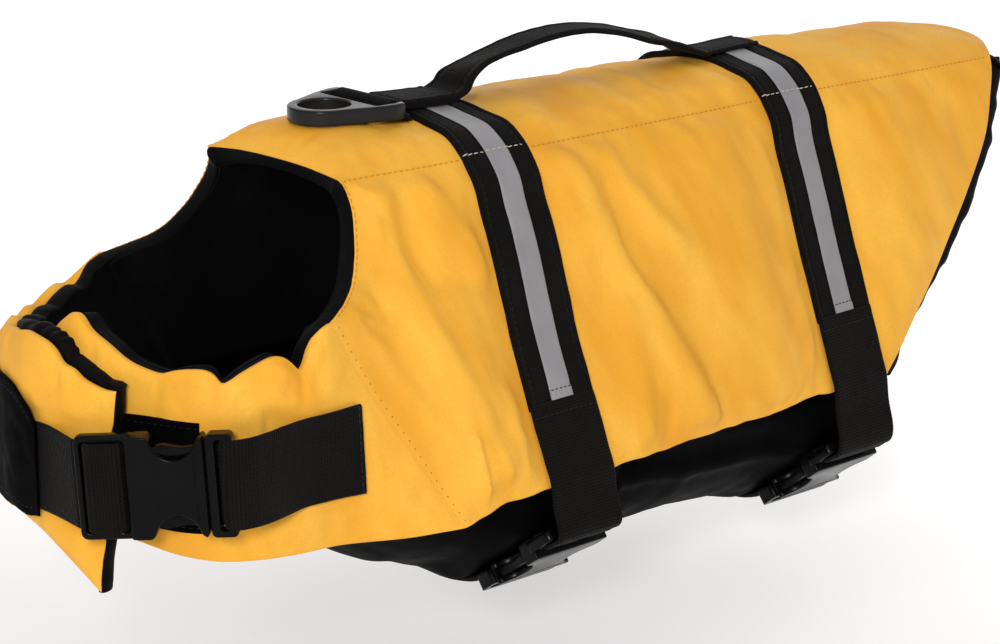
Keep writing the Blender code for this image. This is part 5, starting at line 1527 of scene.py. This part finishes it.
# ---- lower webbing -----------------------------------------------------------------
def side_drop(x, side):
    path = []
    for z in (BAND_END_Z + 2.0, -134.0, -145.0, -155.0):
        p = side_cover(x, z, side, 1.1 if z < -130 else 0.9)
        path.append((float(p[1]), float(p[2])))
    return path


def lower_path_left(x0, dx, row):
    centre, ex, ey, ez = belly_axes(row)
    skew = float(half_width(x0 + dx, HEM_Z) - half_width(x0, HEM_Z)) * 0.7
    pts = side_drop(x0 + dx, -1) + [(-float(half_width(x0, HEM_Z)) - 1.6 - skew, -165.0)]
    for bx, bz in ((ADJUSTER_END["belly"] + 1.5, 8.2), (22.0, 8.0), (18.4, 7.8), (16.4, 6.8), (15.6, 4.4), (14.6, 1.2), (13.2, 0.3)):
        q = centre + ex * bx + ez * bz
        pts.append((q[1], q[2]))
    return smooth_path(pts, 120)


def lower_path_right(x0, dx, row):
    centre, ex, ey, ez = belly_axes(row)
    skew = float(half_width(x0 + dx, HEM_Z) - half_width(x0, HEM_Z)) * 0.7
    pts = side_drop(x0 + dx, 1) + [(float(half_width(x0, HEM_Z)) + skew, -165.0)]
    for q in (0.72, 0.58, 0.42, 0.25, 0.08, -0.08):
        p = belly_point(x0 + dx, q, 1.6)
        pts.append((float(p[1]), float(p[2])))
    for bx, bz in ((PLUG_END - 4.0, 1.0), (-29.8, 1.1), (-27.9, 2.4), (-27.2, 5.0), (-26.9, 7.2)):
        q = centre + ex * bx + ez * bz
        pts.append((q[1], q[2]))
    return smooth_path(pts, 170)


def lower_webbing(label, x0, row, side, seed):
    across = np.linspace(-WEBBING_W / 2, WEBBING_W / 2, 41)
    make = lower_path_left if side < 0 else lower_path_right
    keys = np.linspace(-WEBBING_W / 2, WEBBING_W / 2, 5)
    lines = [make(x0, d, row) for d in keys]
    grid = []
    for d in across:
        k = min(int((d - keys[0]) / (keys[1] - keys[0])), 3)
        f = (d - keys[k]) / (keys[1] - keys[0])
        yz = lines[k] * (1 - f) + lines[k + 1] * f
        grid.append(np.stack([np.full(len(yz), x0 + d), yz[:, 0], yz[:, 1]], -1))
    grid = np.stack(grid, 1)
    n = grid_normals(grid)
    mid = np.array([x0, 0.0, -120.0])
    if np.sum((grid - mid) * n) < 0:
        n = -n
    name = f"strap_{label}_lower_{'left' if side < 0 else 'right'}"
    obj, outer, nn = webbing_strip(
        name, grid, WEBBING, WEBBING_T + 0.2, [name], held="hung", wobble=0.35, seed=seed, normals=n,
        rests_on=["side_panel_left" if side < 0 else "side_panel_right"],
    )
    return outer, nn


for label, strap_x, row, seed in (("front", STRAP_X[0], BELLY_BUCKLES[0], 121), ("rear", STRAP_X[1], BELLY_BUCKLES[1], 131)):
    for side in (-1, 1):
        outer, nn = lower_webbing(label, strap_x, row, side, seed + side)
        # a row of stitches under the band's end, where both are sewn to the side
        stitches(f"stitch_{label}_join_{'l' if side < 0 else 'r'}", outer[9], nn[9], THREAD_BLACK, 3.0, 2.3, 0.4, -0.06)


# ---- buckles -----------------------------------------------------------------------
def local_box(name, lo, hi):
    bm = bmesh.new()
    bmesh.ops.create_cube(bm, size=1.0)
    for v in bm.verts:
        v.co = Vector([(lo[k] + (hi[k] - lo[k]) * (v.co[k] + 0.5)) * MM for k in range(3)])
    mesh = bpy.data.meshes.new(name)
    bm.to_mesh(mesh)
    bm.free()
    obj = bpy.data.objects.new(name, mesh)
    scene.collection.objects.link(obj)
    return obj


def local_prism(name, loop, z0, z1):
    """A plate from a closed outline in mm, between two heights."""
    n = len(loop)
    verts = [(x * MM, y * MM, z0 * MM) for x, y in loop] + [(x * MM, y * MM, z1 * MM) for x, y in loop]
    faces = [tuple(range(n))[::-1], tuple(range(n, 2 * n))]
    faces += [(i, (i + 1) % n, n + (i + 1) % n, n + i) for i in range(n)]
    mesh = bpy.data.meshes.new(name)
    mesh.from_pydata(verts, [], faces)
    bm = bmesh.new()
    bm.from_mesh(mesh)
    bmesh.ops.recalc_face_normals(bm, faces=bm.faces[:])
    bm.to_mesh(mesh)
    bm.free()
    obj = bpy.data.objects.new(name, mesh)
    scene.collection.objects.link(obj)
    return obj


def circle(cx, cy, r, n=40):
    return [(cx + r * math.cos(2 * math.pi * k / n), cy + r * math.sin(2 * math.pi * k / n)) for k in range(n)]


def rounded(x0, x1, y0, y1, r, n=7):
    pts = []
    for cx, cy, a0 in ((x1 - r, y1 - r, 0), (x0 + r, y1 - r, 90), (x0 + r, y0 + r, 180), (x1 - r, y0 + r, 270)):
        for k in range(n + 1):
            a = math.radians(a0 + 90 * k / n)
            pts.append((cx + r * math.cos(a), cy + r * math.sin(a)))
    return pts


def cut(obj, *others, operation="DIFFERENCE"):
    for other in others:
        mod = obj.modifiers.new("b", "BOOLEAN")
        mod.operation = operation
        mod.object = other
        mod.solver = "EXACT"


def settle_mesh(obj, extra=()):
    """Turns the modifiers into the mesh and removes the helpers."""
    graph = bpy.context.evaluated_depsgraph_get()
    mesh = bpy.data.meshes.new_from_object(obj.evaluated_get(graph))
    obj.modifiers.clear()
    old = obj.data
    obj.data = mesh
    bpy.data.meshes.remove(old)
    for other in extra:
        old = other.data
        bpy.data.objects.remove(other, do_unlink=True)
        bpy.data.meshes.remove(old)
    return obj


def bevel(obj, width, segments=3, limit=35.0):
    mod = obj.modifiers.new("edge", "BEVEL")
    mod.width = width * MM
    mod.segments = segments
    mod.limit_method = "ANGLE"
    mod.angle_limit = math.radians(limit)
    mod.use_clamp_overlap = True
    mod.harden_normals = False


def fine_buckle(prefix, kind):
    """Socket and plug in their own frame: X to the adjuster, Z outwards."""
    w = BUCKLE_W / 2
    x0, x1 = BODY_X
    end = ADJUSTER_END[kind]
    # socket body: a flat case, waisted by the two finger notches
    half = [(x1, w - 0.3), (x1 - 3.0, w), (x0 + 24.6, w)]
    for k in range(19):
        a = math.radians(5 + 170.0 * k / 18)
        half.append((x0 + 13.0 + 10.2 * math.cos(a), w + 1.2 - 11.6 * math.sin(a)))
    half = [p for p in half if p[1] <= w]
    half += [(x0 + 1.2, w - 0.4), (x0 + 0.2, w - 1.6)]
    loop = half + [(x, -y) for x, y in reversed(half)]
    body = local_prism(prefix + "_body", loop, 0.6, BUCKLE_T)
    bevel(body, 1.7, 4, 30)
    settle_mesh(body)
    helpers = [local_box("c0", (x0 - 2.0, -18.6, 3.3), (x1 - 3.0, 18.6, 8.4))]
    # the notches open the case's sides down to the prongs
    for side in (-1, 1):
        helpers.append(local_box(f"c{side}", (x0 + 1.5, side * 17.4 - (6.0 if side < 0 else 0.0), 3.3), (x0 + 22.0, side * 17.4 + (6.0 if side > 0 else 0.0), 8.4)))
    # a shallow groove across the face by the mouth
    helpers.append(local_box("c3", (x0 + 3.4, -14.5, BUCKLE_T - 0.5), (x0 + 4.5, 14.5, BUCKLE_T + 2)))
    cut(body, *helpers)
    settle_mesh(body, helpers)
    # adjuster: a frame of three bars
    frame_loop = rounded(x1 - 4.0, end, -w - 0.4, w + 0.4, 3.2)
    adjuster = local_prism(prefix + "_frame", frame_loop, 2.2, 7.4)
    slots = [
        local_prism("s0", rounded(x1 + 1.4, x1 + 5.2, -20.0, 20.0, 1.5, 4), -2, 14),
        local_prism("s1", rounded(end - 6.2, end - 2.6, -20.0, 20.0, 1.5, 4), -2, 14),
    ]
    cut(adjuster, *slots)
    settle_mesh(adjuster, slots)
    bevel(adjuster, 0.9, 3, 40)
    settle_mesh(adjuster)
    cut(body, adjuster, operation="UNION")
    settle_mesh(body, [adjuster])
    bevel(body, 0.35, 2, 50)
    settle_mesh(body)
    # plug: a slotted bar with two sprung prongs that show in the notches
    back = x0 - 0.6
    half = [
        (PLUG_END, w - 2.4), (PLUG_END + 0.7, w - 0.7), (PLUG_END + 2.4, w), (back - 2.2, w), (back - 0.5, w - 0.9),
        (back, w - 2.6), (back + 2.0, 18.2), (-15.0, 17.4), (-11.0, 17.0), (-7.0, 17.6), (-3.0, 18.4), (0.0, 18.0), (3.0, 15.8), (5.0, 13.4), (5.4, 12.2),
        (4.0, 11.4), (0.0, 12.6), (-8.0, 13.2), (-15.0, 13.0), (-18.6, 12.0), (back + 1.0, 10.4), (back, 9.0), (back, 4.2), (back + 1.0, 3.2), (1.0, 2.4), (2.0, 1.4),
    ]
    loop = half + [(x, -y) for x, y in reversed(half)]
    plug = local_prism(prefix + "_plug_plate", loop, 3.7, 8.0)
    rim = local_prism("rim", rounded(PLUG_END, back, -w, w, 2.4), 2.6, 9.2)
    cut(plug, rim, operation="UNION")
    settle_mesh(plug, [rim])
    slot = local_prism("slot", rounded(PLUG_END + 3.2, back - 3.6, -20.0, 20.0, 1.6, 4), -2, 14)
    cut(plug, slot)
    settle_mesh(plug, [slot])
    bevel(plug, 0.6, 2, 40)
    settle_mesh(plug)
    return body, plug


def place_buckle(prefix, kind, centre, ex, ey, ez):
    body, plug = fine_buckle(prefix, kind)
    m = Matrix((Vector(ex), Vector(ey), Vector(ez))).transposed().to_4x4()
    m.translation = Vector(((np.array(centre) - np.array(WEARER)) * MM).tolist())
    for obj, part in ((body, "socket"), (plug, "plug")):
        obj.data.transform(m)
        obj.name = f"{prefix}_{part}"
        obj.data.materials.clear()
        obj.data.materials.append(PLASTIC)
        obj.data.shade_smooth()
        obj.data.set_sharp_from_angle(angle=math.radians(38))
        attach(obj, "jacket")
        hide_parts(f"{prefix}_{part}")


def neck_axes():
    phi = math.radians(NECK_BUCKLE_PHI)
    ez = np.array((-math.sin(phi), -math.cos(phi), 0.0))
    ex = np.array((-math.cos(phi), math.sin(phi), 0.0))
    ey = np.cross(ez, ex)
    centre = np.array((RING_X, 0.0, NECK_BUCKLE_Z)) + ez * NECK_BUCKLE_R
    t = math.radians(NECK_BUCKLE_TILT)
    return centre, ex * math.cos(t) + ey * math.sin(t), -ex * math.sin(t) + ey * math.cos(t), ez


def in_neck_buckle(x, h, z):
    centre, ex, ey, ez = neck_axes()
    return centre + ex * x - ey * h + ez * z


place_buckle("buckle_front", "belly", *belly_axes(BELLY_BUCKLES[0]))
place_buckle("buckle_rear", "belly", *belly_axes(BELLY_BUCKLES[1]))
place_buckle("buckle_neck", "neck", *neck_axes())


# ---- neck straps and patches -------------------------------------------------------
def upright_grid(path, nu, nv, width=WEBBING_W):
    heights = np.linspace(width / 2, -width / 2, 9)
    lines = np.stack([path(h) for h in heights], 1)
    fine = np.linspace(0, 8, nv)
    k = np.clip(fine.astype(int), 0, 7)
    f = (fine - k)[None, :, None]
    return lines[:, k] * (1 - f) + lines[:, k + 1] * f


def ring_away(grid, centre=(RING_X + 6.0, 0.0, -120.0)):
    n = grid_normals(grid)
    if np.sum((grid - np.array(centre)) * n) < 0:
        n = -n
    return n


def fine_neck_straps():
    def left(h):
        points = [band(a, NECK_STRAP_Z[-1] + h, -1, 1.0) for a in (-19.0, -8.0, 2.0, 10.0)]
        points += [in_neck_buckle(bx, h, bz) for bx, bz in ((-41.0, 3.4), (-37.0, 6.4), (-33.6, 8.2), (-31.0, 8.5), (-29.4, 8.3), (-28.5, 7.0), (-28.2, 4.6), (-27.6, 2.2), (-26.0, 0.9), (-23.6, 0.7), (-21.8, 0.7))]
        return smooth_path(points, 150)

    grid = upright_grid(left, 150, 41)
    obj, outer_l, n_l = webbing_strip("neck_strap_left", grid, WEBBING, WEBBING_T + 0.3, ["neck_strap_left"], rests_on=["neck_band_left"], normals=ring_away(grid), seed=141, wobble=0.45)

    def right(h):
        threaded = [in_neck_buckle(x, h, z) for x, z in ((13.4, 0.4), (14.6, 1.2), (15.5, 4.4), (16.3, 6.8)) + THREADING]
        points = threaded[-1:]
        for a in (140.0, 130.0, 118.0, 104.0, 88.0, 70.0, 56.0, 42.0, 28.0, 14.0, 0.0, -12.0):
            points.append(band(a, NECK_STRAP_Z[1] + h, 1, 1.0))
        head = smooth_path(threaded, 60)
        return np.concatenate([head[:-1], smooth_path(points, 200)])

    grid = upright_grid(right, 259, 33)
    n = grid_normals(grid)
    # on the adjuster the outside of the webbing is away from the ring
    if np.sum((grid[100:] - np.array((RING_X, 0.0, -120.0))) * n[100:]) < 0:
        n = -n
    for _ in range(3):
        n[1:-1] = unit(n[:-2] + 2 * n[1:-1] + n[2:])
    obj, outer_r, n_r = webbing_strip("neck_strap_right", grid, WEBBING, WEBBING_T, ["neck_strap_right"], rests_on=["neck_band_right"], normals=n, seed=143, wobble=0.2)
    stitches("stitch_neck_l_end", outer_l[3], n_l[3], THREAD_BLACK, 3.0, 2.3, 0.5, 0.1)
    return outer_l, n_l


fine_neck_straps()


def fine_patches():
    a = np.linspace(-14.0, 136.0, 150)
    h = np.linspace(0.0, 1.0, 54)
    A, F = np.meshgrid(a, h, indexing="ij")
    # its top is a little higher and ragged, and slopes down round the front corner
    corner = 9.0 * smoothstep((A - 112.0) / 24.0) ** 1.5 + 5.0 * smoothstep((A - 130.0) / 6.0) ** 2
    high = 31.0 - corner + 0.8 * lattice_noise(A, 0 * A, 8.0, 151)
    low = -26.0 + 1.2 * smoothstep((A - 128.0) / 8.0) + 0.5 * lattice_noise(A, 0 * A, 11.0, 153)
    H = high + (low - high) * F
    base = band(A, NECK_STRAP_Z[1] + 3.0 + H, 1, 1.2 + WEBBING_T + 0.6)
    obj, outer, n = webbing_strip("neck_patch_right", base, BELLY_CLOTH, 1.4, ["neck_patch_right"], rests_on=["neck_strap_right"], normals=ring_away(base), seed=152, wobble=0.5)
    for c, tag in ((4, "top"), (-5, "low")):
        stitches(f"stitch_patch_{tag}", outer[3:-3, c], n[3:-3, c], THREAD_BLACK, 3.1, 2.4, 0.36, -0.08)
    a = np.linspace(56.0, 96.0, 60)
    h = np.linspace(24.5, -24.5, 60)
    A, H = np.meshgrid(a, h, indexing="ij")
    base = band(A, NECK_STRAP_Z[-1] - 2.5 + H, -1, 1.2)
    obj, outer, n = webbing_strip("neck_loop_patch", base, BELLY_CLOTH, 1.8, ["neck_loop_patch"], rests_on=["neck_band_left"], normals=ring_away(base), seed=154, wobble=0.5)
    for c, tag in ((3, "top"), (-4, "low")):
        stitches(f"stitch_loop_patch_{tag}", outer[:, c], n[:, c], THREAD_BLACK, 3.1, 2.4, 0.36, -0.08)


fine_patches()


# ---- handle ------------------------------------------------------------------------
def fine_handle():
    lift = GAP + BAND_T + GAP + TAPE_T + 0.2
    rows = []
    for x in (-19.8, -13.0, -6.0, 3.0, 11.0):
        rows.append((x, float(top_z(x, 0.0)) + lift + 0.1, 0.0, 25.0))
    rows += [r for r in HANDLE[1:-1]]
    for x, width in ((178.0, 23.0), (184.0, 21.5), (192.0, 20.5), (201.0, 20.0), (210.0, 20.0), (218.0, 20.0)):
        rows.append((x, float(top_z(x, 0.0)) + lift - 0.1, 0.0, width))
    table = np.array(rows)
    run = np.concatenate([[0], np.cumsum(np.hypot(np.diff(table[:, 0]), np.diff(table[:, 1])))])
    k = np.linspace(0, run[-1], 320)
    x, z, tilt, width = (through(np.stack([run, table[:, c]], -1), k) for c in range(4))
    tilt = np.radians(tilt)
    w = np.linspace(-1, 1, 31)
    half = width[:, None] / 2 * w[None, :]
    on_back = ((x < 14.0) | (x > 178.0))[:, None]
    y = half * np.cos(tilt)[:, None]
    dz = np.where(on_back, top_z(x[:, None] + 0 * y, y) - top_z(x, 0 * x)[:, None], -half * np.sin(tilt)[:, None])
    # the two edges are turned under, so the webbing is a little fuller along them
    grid = np.stack([x[:, None] + 0 * y, y, z[:, None] + dz], -1)
    n = grid_normals(grid)
    if n[..., 2].sum() < 0:
        n = -n
    u = np.abs(w)[None, :]
    full = 0.35 * np.exp(-(((u - 0.86) / 0.10) ** 2)) - 0.30 * np.exp(-(((u - 0.66) / 0.05) ** 2))
    # doubled under the ends that are sewn down
    doubled = 1.6 * (1 - smoothstep((x - 12.0) / 3.0)) * smoothstep((x + 21.0) / 2.0)
    wave = 0.25 * lattice_noise(k[:, None], half, 14.0, 161) + 0.1 * lattice_noise(k[:, None], half, 5.0, 162)
    rim = (1 - u) * width[:, None] / 2
    sag = 0.9 * (1 - np.sqrt(np.clip(1 - (1 - np.clip(rim / 1.2, 0, 1)) ** 2, 0, 1)))
    thick = HANDLE_T - 0.9 * smoothstep((x - 174.0) / 12.0)
    outer = grid + n * (thick[:, None] + full - sag + wave + doubled[:, None])[..., None]
    inner = grid + n * (0.25 * sag + np.minimum(wave, 0))[..., None]
    obj = shell("handle", outer, inner, WEBBING_FINE, tape_uv(grid), slot="webbing")
    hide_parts("handle")
    for c, tag in ((5, "l"), (25, "r")):
        stitches(f"stitch_handle_{tag}", outer[:, c], n[:, c], THREAD_BLACK, 3.2, 2.4, 0.45, 0.1)
    # boxes of stitches where it is sewn to the straps
    for x_lo, x_hi, tag in ((-17.5, 9.0, "front"), (186.5, 215.5, "rear")):
        i0, i1 = int(np.argmin(np.abs(x - x_lo))), int(np.argmin(np.abs(x - x_hi)))
        for i, t in ((i0, "a"), (i1, "b")):
            stitches(f"stitch_handle_{tag}_{t}", outer[i, 5:26], n[i, 5:26], THREAD_BLACK, 2.8, 2.2, 0.5, 0.12)
    return outer


fine_handle()


# ---- lead ring and its loop --------------------------------------------------------
def fine_ring():
    cx, r = RING_HOLE_X, RING_TIP_R
    rear = RING_BAR_X + 3.2
    half = [(rear, RING_HALF_W - 3.4), (rear - 0.9, RING_HALF_W - 1.0), (rear - 3.4, RING_HALF_W)]
    half += [(rear - 7.0, RING_HALF_W - 0.1), (rear - 10.0, RING_HALF_W - 0.8), (-41.8, 22.5), (-47.0, 20.7), (-52.0, 18.7), (-57.0, 16.7)]
    for k in range(1, 25):
        a = math.radians(98 + (180 - 98) * k / 24)
        half.append((cx + r * math.cos(a), r * math.sin(a)))
    loop = half + [(x, -y) for x, y in reversed(half[:-1])]
    plate = local_prism("d_ring_plate", [(x - RING_BAR_X, y) for x, y in loop], -RING_T / 2, RING_T / 2)
    eye = local_prism("e", circle(cx - RING_BAR_X + 1.0, 0.0, RING_HOLE_R + 1.2, 48), -9, 9)
    inner = RING_HALF_W - RING_RAIL
    window = local_prism("w", rounded(-RING_BAR_T / 2 - 9.4, 12.0, -inner, inner, 1.2, 3), -9, 9)
    cut(plate, eye, window)
    settle_mesh(plate, [eye, window])
    bevel(plate, 1.9, 5, 50)
    settle_mesh(plate)
    bar = local_box("bar", (-RING_BAR_T / 2, -inner - 2.0, -RING_BAR_T / 2), (RING_BAR_T / 2, inner + 2.0, RING_BAR_T / 2))
    bevel(bar, 1.2, 3, 50)
    settle_mesh(bar)
    cut(plate, bar, operation="UNION")
    settle_mesh(plate, [bar])
    m = Matrix.Translation(Vector(((np.array((RING_BAR_X, 0.0, RING_Z)) - np.array(WEARER)) * MM).tolist()))
    plate.data.transform(m)
    plate.name = "d_ring"
    plate.data.materials.clear()
    plate.data.materials.append(RING_PLASTIC)
    plate.data.shade_smooth()
    plate.data.set_sharp_from_angle(angle=math.radians(40))
    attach(plate, "d_ring")
    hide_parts("d_ring")


def fine_ring_loop():
    """One strip of webbing: from its lower tail round the bar and back over itself."""
    r_in = 3.0
    tail_x = -20.4
    z_low = float(top_z(-22.0, 0.0)) + GAP + 0.35
    z_top = z_low + 2 * WEBBING_T + 0.25
    centre = np.array((RING_BAR_X, RING_Z))
    path = []
    for t in np.linspace(0, 1, 10):
        path.append((tail_x + (RING_BAR_X + 4.0 - tail_x) * t, z_low + WEBBING_T * 0.5))
    for a in np.linspace(-48, -312, 48):
        q = math.radians(a)
        path.append((centre[0] + (r_in + 0.8) * math.cos(q), centre[1] + (r_in + 0.8) * math.sin(q)))
    for t in np.linspace(0.0, 1, 14)[1:]:
        path.append((RING_BAR_X + 4.0 + (tail_x - 1.0 - RING_BAR_X - 4.0) * t, z_top - WEBBING_T * 0.5))
    path = np.array(path)
    for _ in range(3):
        path[1:-1] = 0.25 * path[:-2] + 0.5 * path[1:-1] + 0.25 * path[2:]
    ys = np.linspace(-LOOP_W / 2, LOOP_W / 2, 41)
    drop = top_z(-25.0, ys) - top_z(-25.0, 0.0)
    grid = np.zeros((len(path), len(ys), 3))
    w = smoothstep((path[:, 0] - (RING_BAR_X + 4.5)) / 4.0)
    grid[..., 0] = path[:, 0][:, None]
    grid[..., 1] = ys[None, :]
    grid[..., 2] = path[:, 1][:, None] + w[:, None] * drop[None, :]
    n = grid_normals(grid)
    mid = np.array((RING_BAR_X, 0.0, RING_Z))
    if np.sum((grid[20:50] - mid) * n[20:50]) < 0:
        n = -n
    obj, outer, nn = webbing_strip("d_ring_loop", grid - 0.8 * n, WEBBING_FINE, WEBBING_T, ["d_ring_loop"], held="folded", rests_on=["back_panel"], normals=n, seed=171, wobble=0.12)
    stitches("stitch_ring_loop", outer[-5], nn[-5], THREAD_BLACK, 3.0, 2.3, 0.5, 0.1)


fine_ring()
fine_ring_loop()


# ---- seam stitches on the cover ----------------------------------------------------
def seam_rows():
    """Topstitching beside the seams, sunk into the puckered cover."""
    for side, skin, tag in ((-1, LEFT_SKIN, "left"), (1, RIGHT_SKIN, "right")):
        n = grid_normals(skin)
        if np.sum(n[..., 1] * side) < 0:
            n = -n
        top = skin[:, 2]
        # the straps cover the seam where they cross it
        x = top[:, 0]
        clear = np.minimum.reduce([np.abs(x - x0) for x0 in STRAP_X]) > WEBBING_W / 2 + 1.0
        clear &= (x > x.min() + 4.0) & (x < x.max() - 4.0)
        runs, start = [], None
        for i, ok in enumerate(clear):
            if ok and start is None:
                start = i
            if (not ok or i == len(clear) - 1) and start is not None:
                if i - start > 6:
                    runs.append((start, i))
                start = None
        for k, (i0, i1) in enumerate(runs):
            stitches(f"stitch_top_{tag}_{k}", top[i0:i1], n[i0:i1, 2], THREAD_YELLOW, 3.2, 2.3, 0.42, 0.25)
        stitches(f"stitch_chest_{tag}", skin[-4, 4:-3], n[-4, 4:-3], THREAD_BROWN, 4.4, 1.3, 0.5, -0.05)


seam_rows()


# ---- floor and light ---------------------------------------------------------------
def floor_material():
    n = Nodes("pale_floor_painted_shade")
    # painted shade: the base colour is greyer in front on the left and white behind, standing in for the sweep's uneven
    # lighting
    sep = n.add("ShaderNodeSeparateXYZ", {0: n.object_coords()})
    psi = math.radians(43.0)
    across = (math.cos(psi), -math.sin(psi))
    depth = (math.sin(psi), math.cos(psi))
    gx, gy = (0.45 * a + d for a, d in zip(across, depth))
    g = n.maths("ADD", n.maths("MULTIPLY", sep.outputs[0], gx), n.maths("MULTIPLY", sep.outputs[1], gy))
    g = n.maths("ADD", g, n.maths("MULTIPLY", n.noise(0.8, detail=2.0), 0.02))
    n.feed(n.bsdf.inputs["Base Color"], n.mix(n.span(g, -0.14, 0.26), colour(0.43, 0.415, 0.405), colour(0.78, 0.775, 0.77)))
    n.bsdf.inputs["Roughness"].default_value = 0.85
    n.bsdf.inputs["Emission Color"].default_value = colour(1.0, 0.99, 0.985)
    n.bsdf.inputs["Emission Strength"].default_value = 0.54
    n.bsdf.inputs["Specular IOR Level"].default_value = 0.15
    return n.mat


def add_floor(z):
    """A pale sweep: flat under the jacket and curved up far behind it."""
    rows = []
    for y in np.linspace(-4.0, 5.0, 10):
        rows.append((y, 0.0))
    for k in range(1, 13):
        a = math.radians(90.0 * k / 12)
        rows.append((5.0 + 2.5 * math.sin(a), 2.5 - 2.5 * math.cos(a)))
    rows.append((7.5, 7.0))
    verts, faces = [], []
    for y, h in rows:
        for x in (-7.0, 7.0):
            # the sweep faces the camera
            psi = math.radians(43.0)
            verts.append((x * math.cos(psi) + y * math.sin(psi), -x * math.sin(psi) + y * math.cos(psi), z + h))
    for i in range(len(rows) - 1):
        faces.append((2 * i, 2 * i + 1, 2 * i + 3, 2 * i + 2))
    mesh = bpy.data.meshes.new("floor")
    mesh.from_pydata(verts, [], faces)
    mesh.materials.append(floor_material())
    mesh.shade_smooth()
    obj = bpy.data.objects.new("floor", mesh)
    scene.collection.objects.link(obj)


def area_light(name, place, target, size, power, tint=(1.0, 1.0, 1.0)):
    data = bpy.data.lights.new(name, "AREA")
    data.shape = "RECTANGLE"
    data.size, data.size_y = size
    data.energy = power
    data.color = tint
    obj = bpy.data.objects.new(name, data)
    scene.collection.objects.link(obj)
    obj.location = place
    obj.rotation_euler = (Vector(target) - Vector(place)).to_track_quat("-Z", "Y").to_euler()
    return obj


add_floor((-262.0 - WEARER[2]) * MM)
area_light("key_left", (-2.0, -1.7, 1.0), (0.0, -0.05, -0.12), (0.5, 0.5), 43.0)
area_light("overhead", (0.5, 0.5, 2.2), (0.05, 0.0, -0.1), (2.6, 2.6), 9.0)
world = bpy.data.worlds.new("studio")
scene.world = world
world.use_nodes = True
world.node_tree.nodes["Background"].inputs["Color"].default_value = (1.0, 1.0, 1.0, 1.0)
world.node_tree.nodes["Background"].inputs["Strength"].default_value = 0.475
scene.view_settings.view_transform = "Standard"
scene.view_settings.look = "None"
scene.view_settings.exposure = 0.0
scene.view_settings.gamma = 1.0
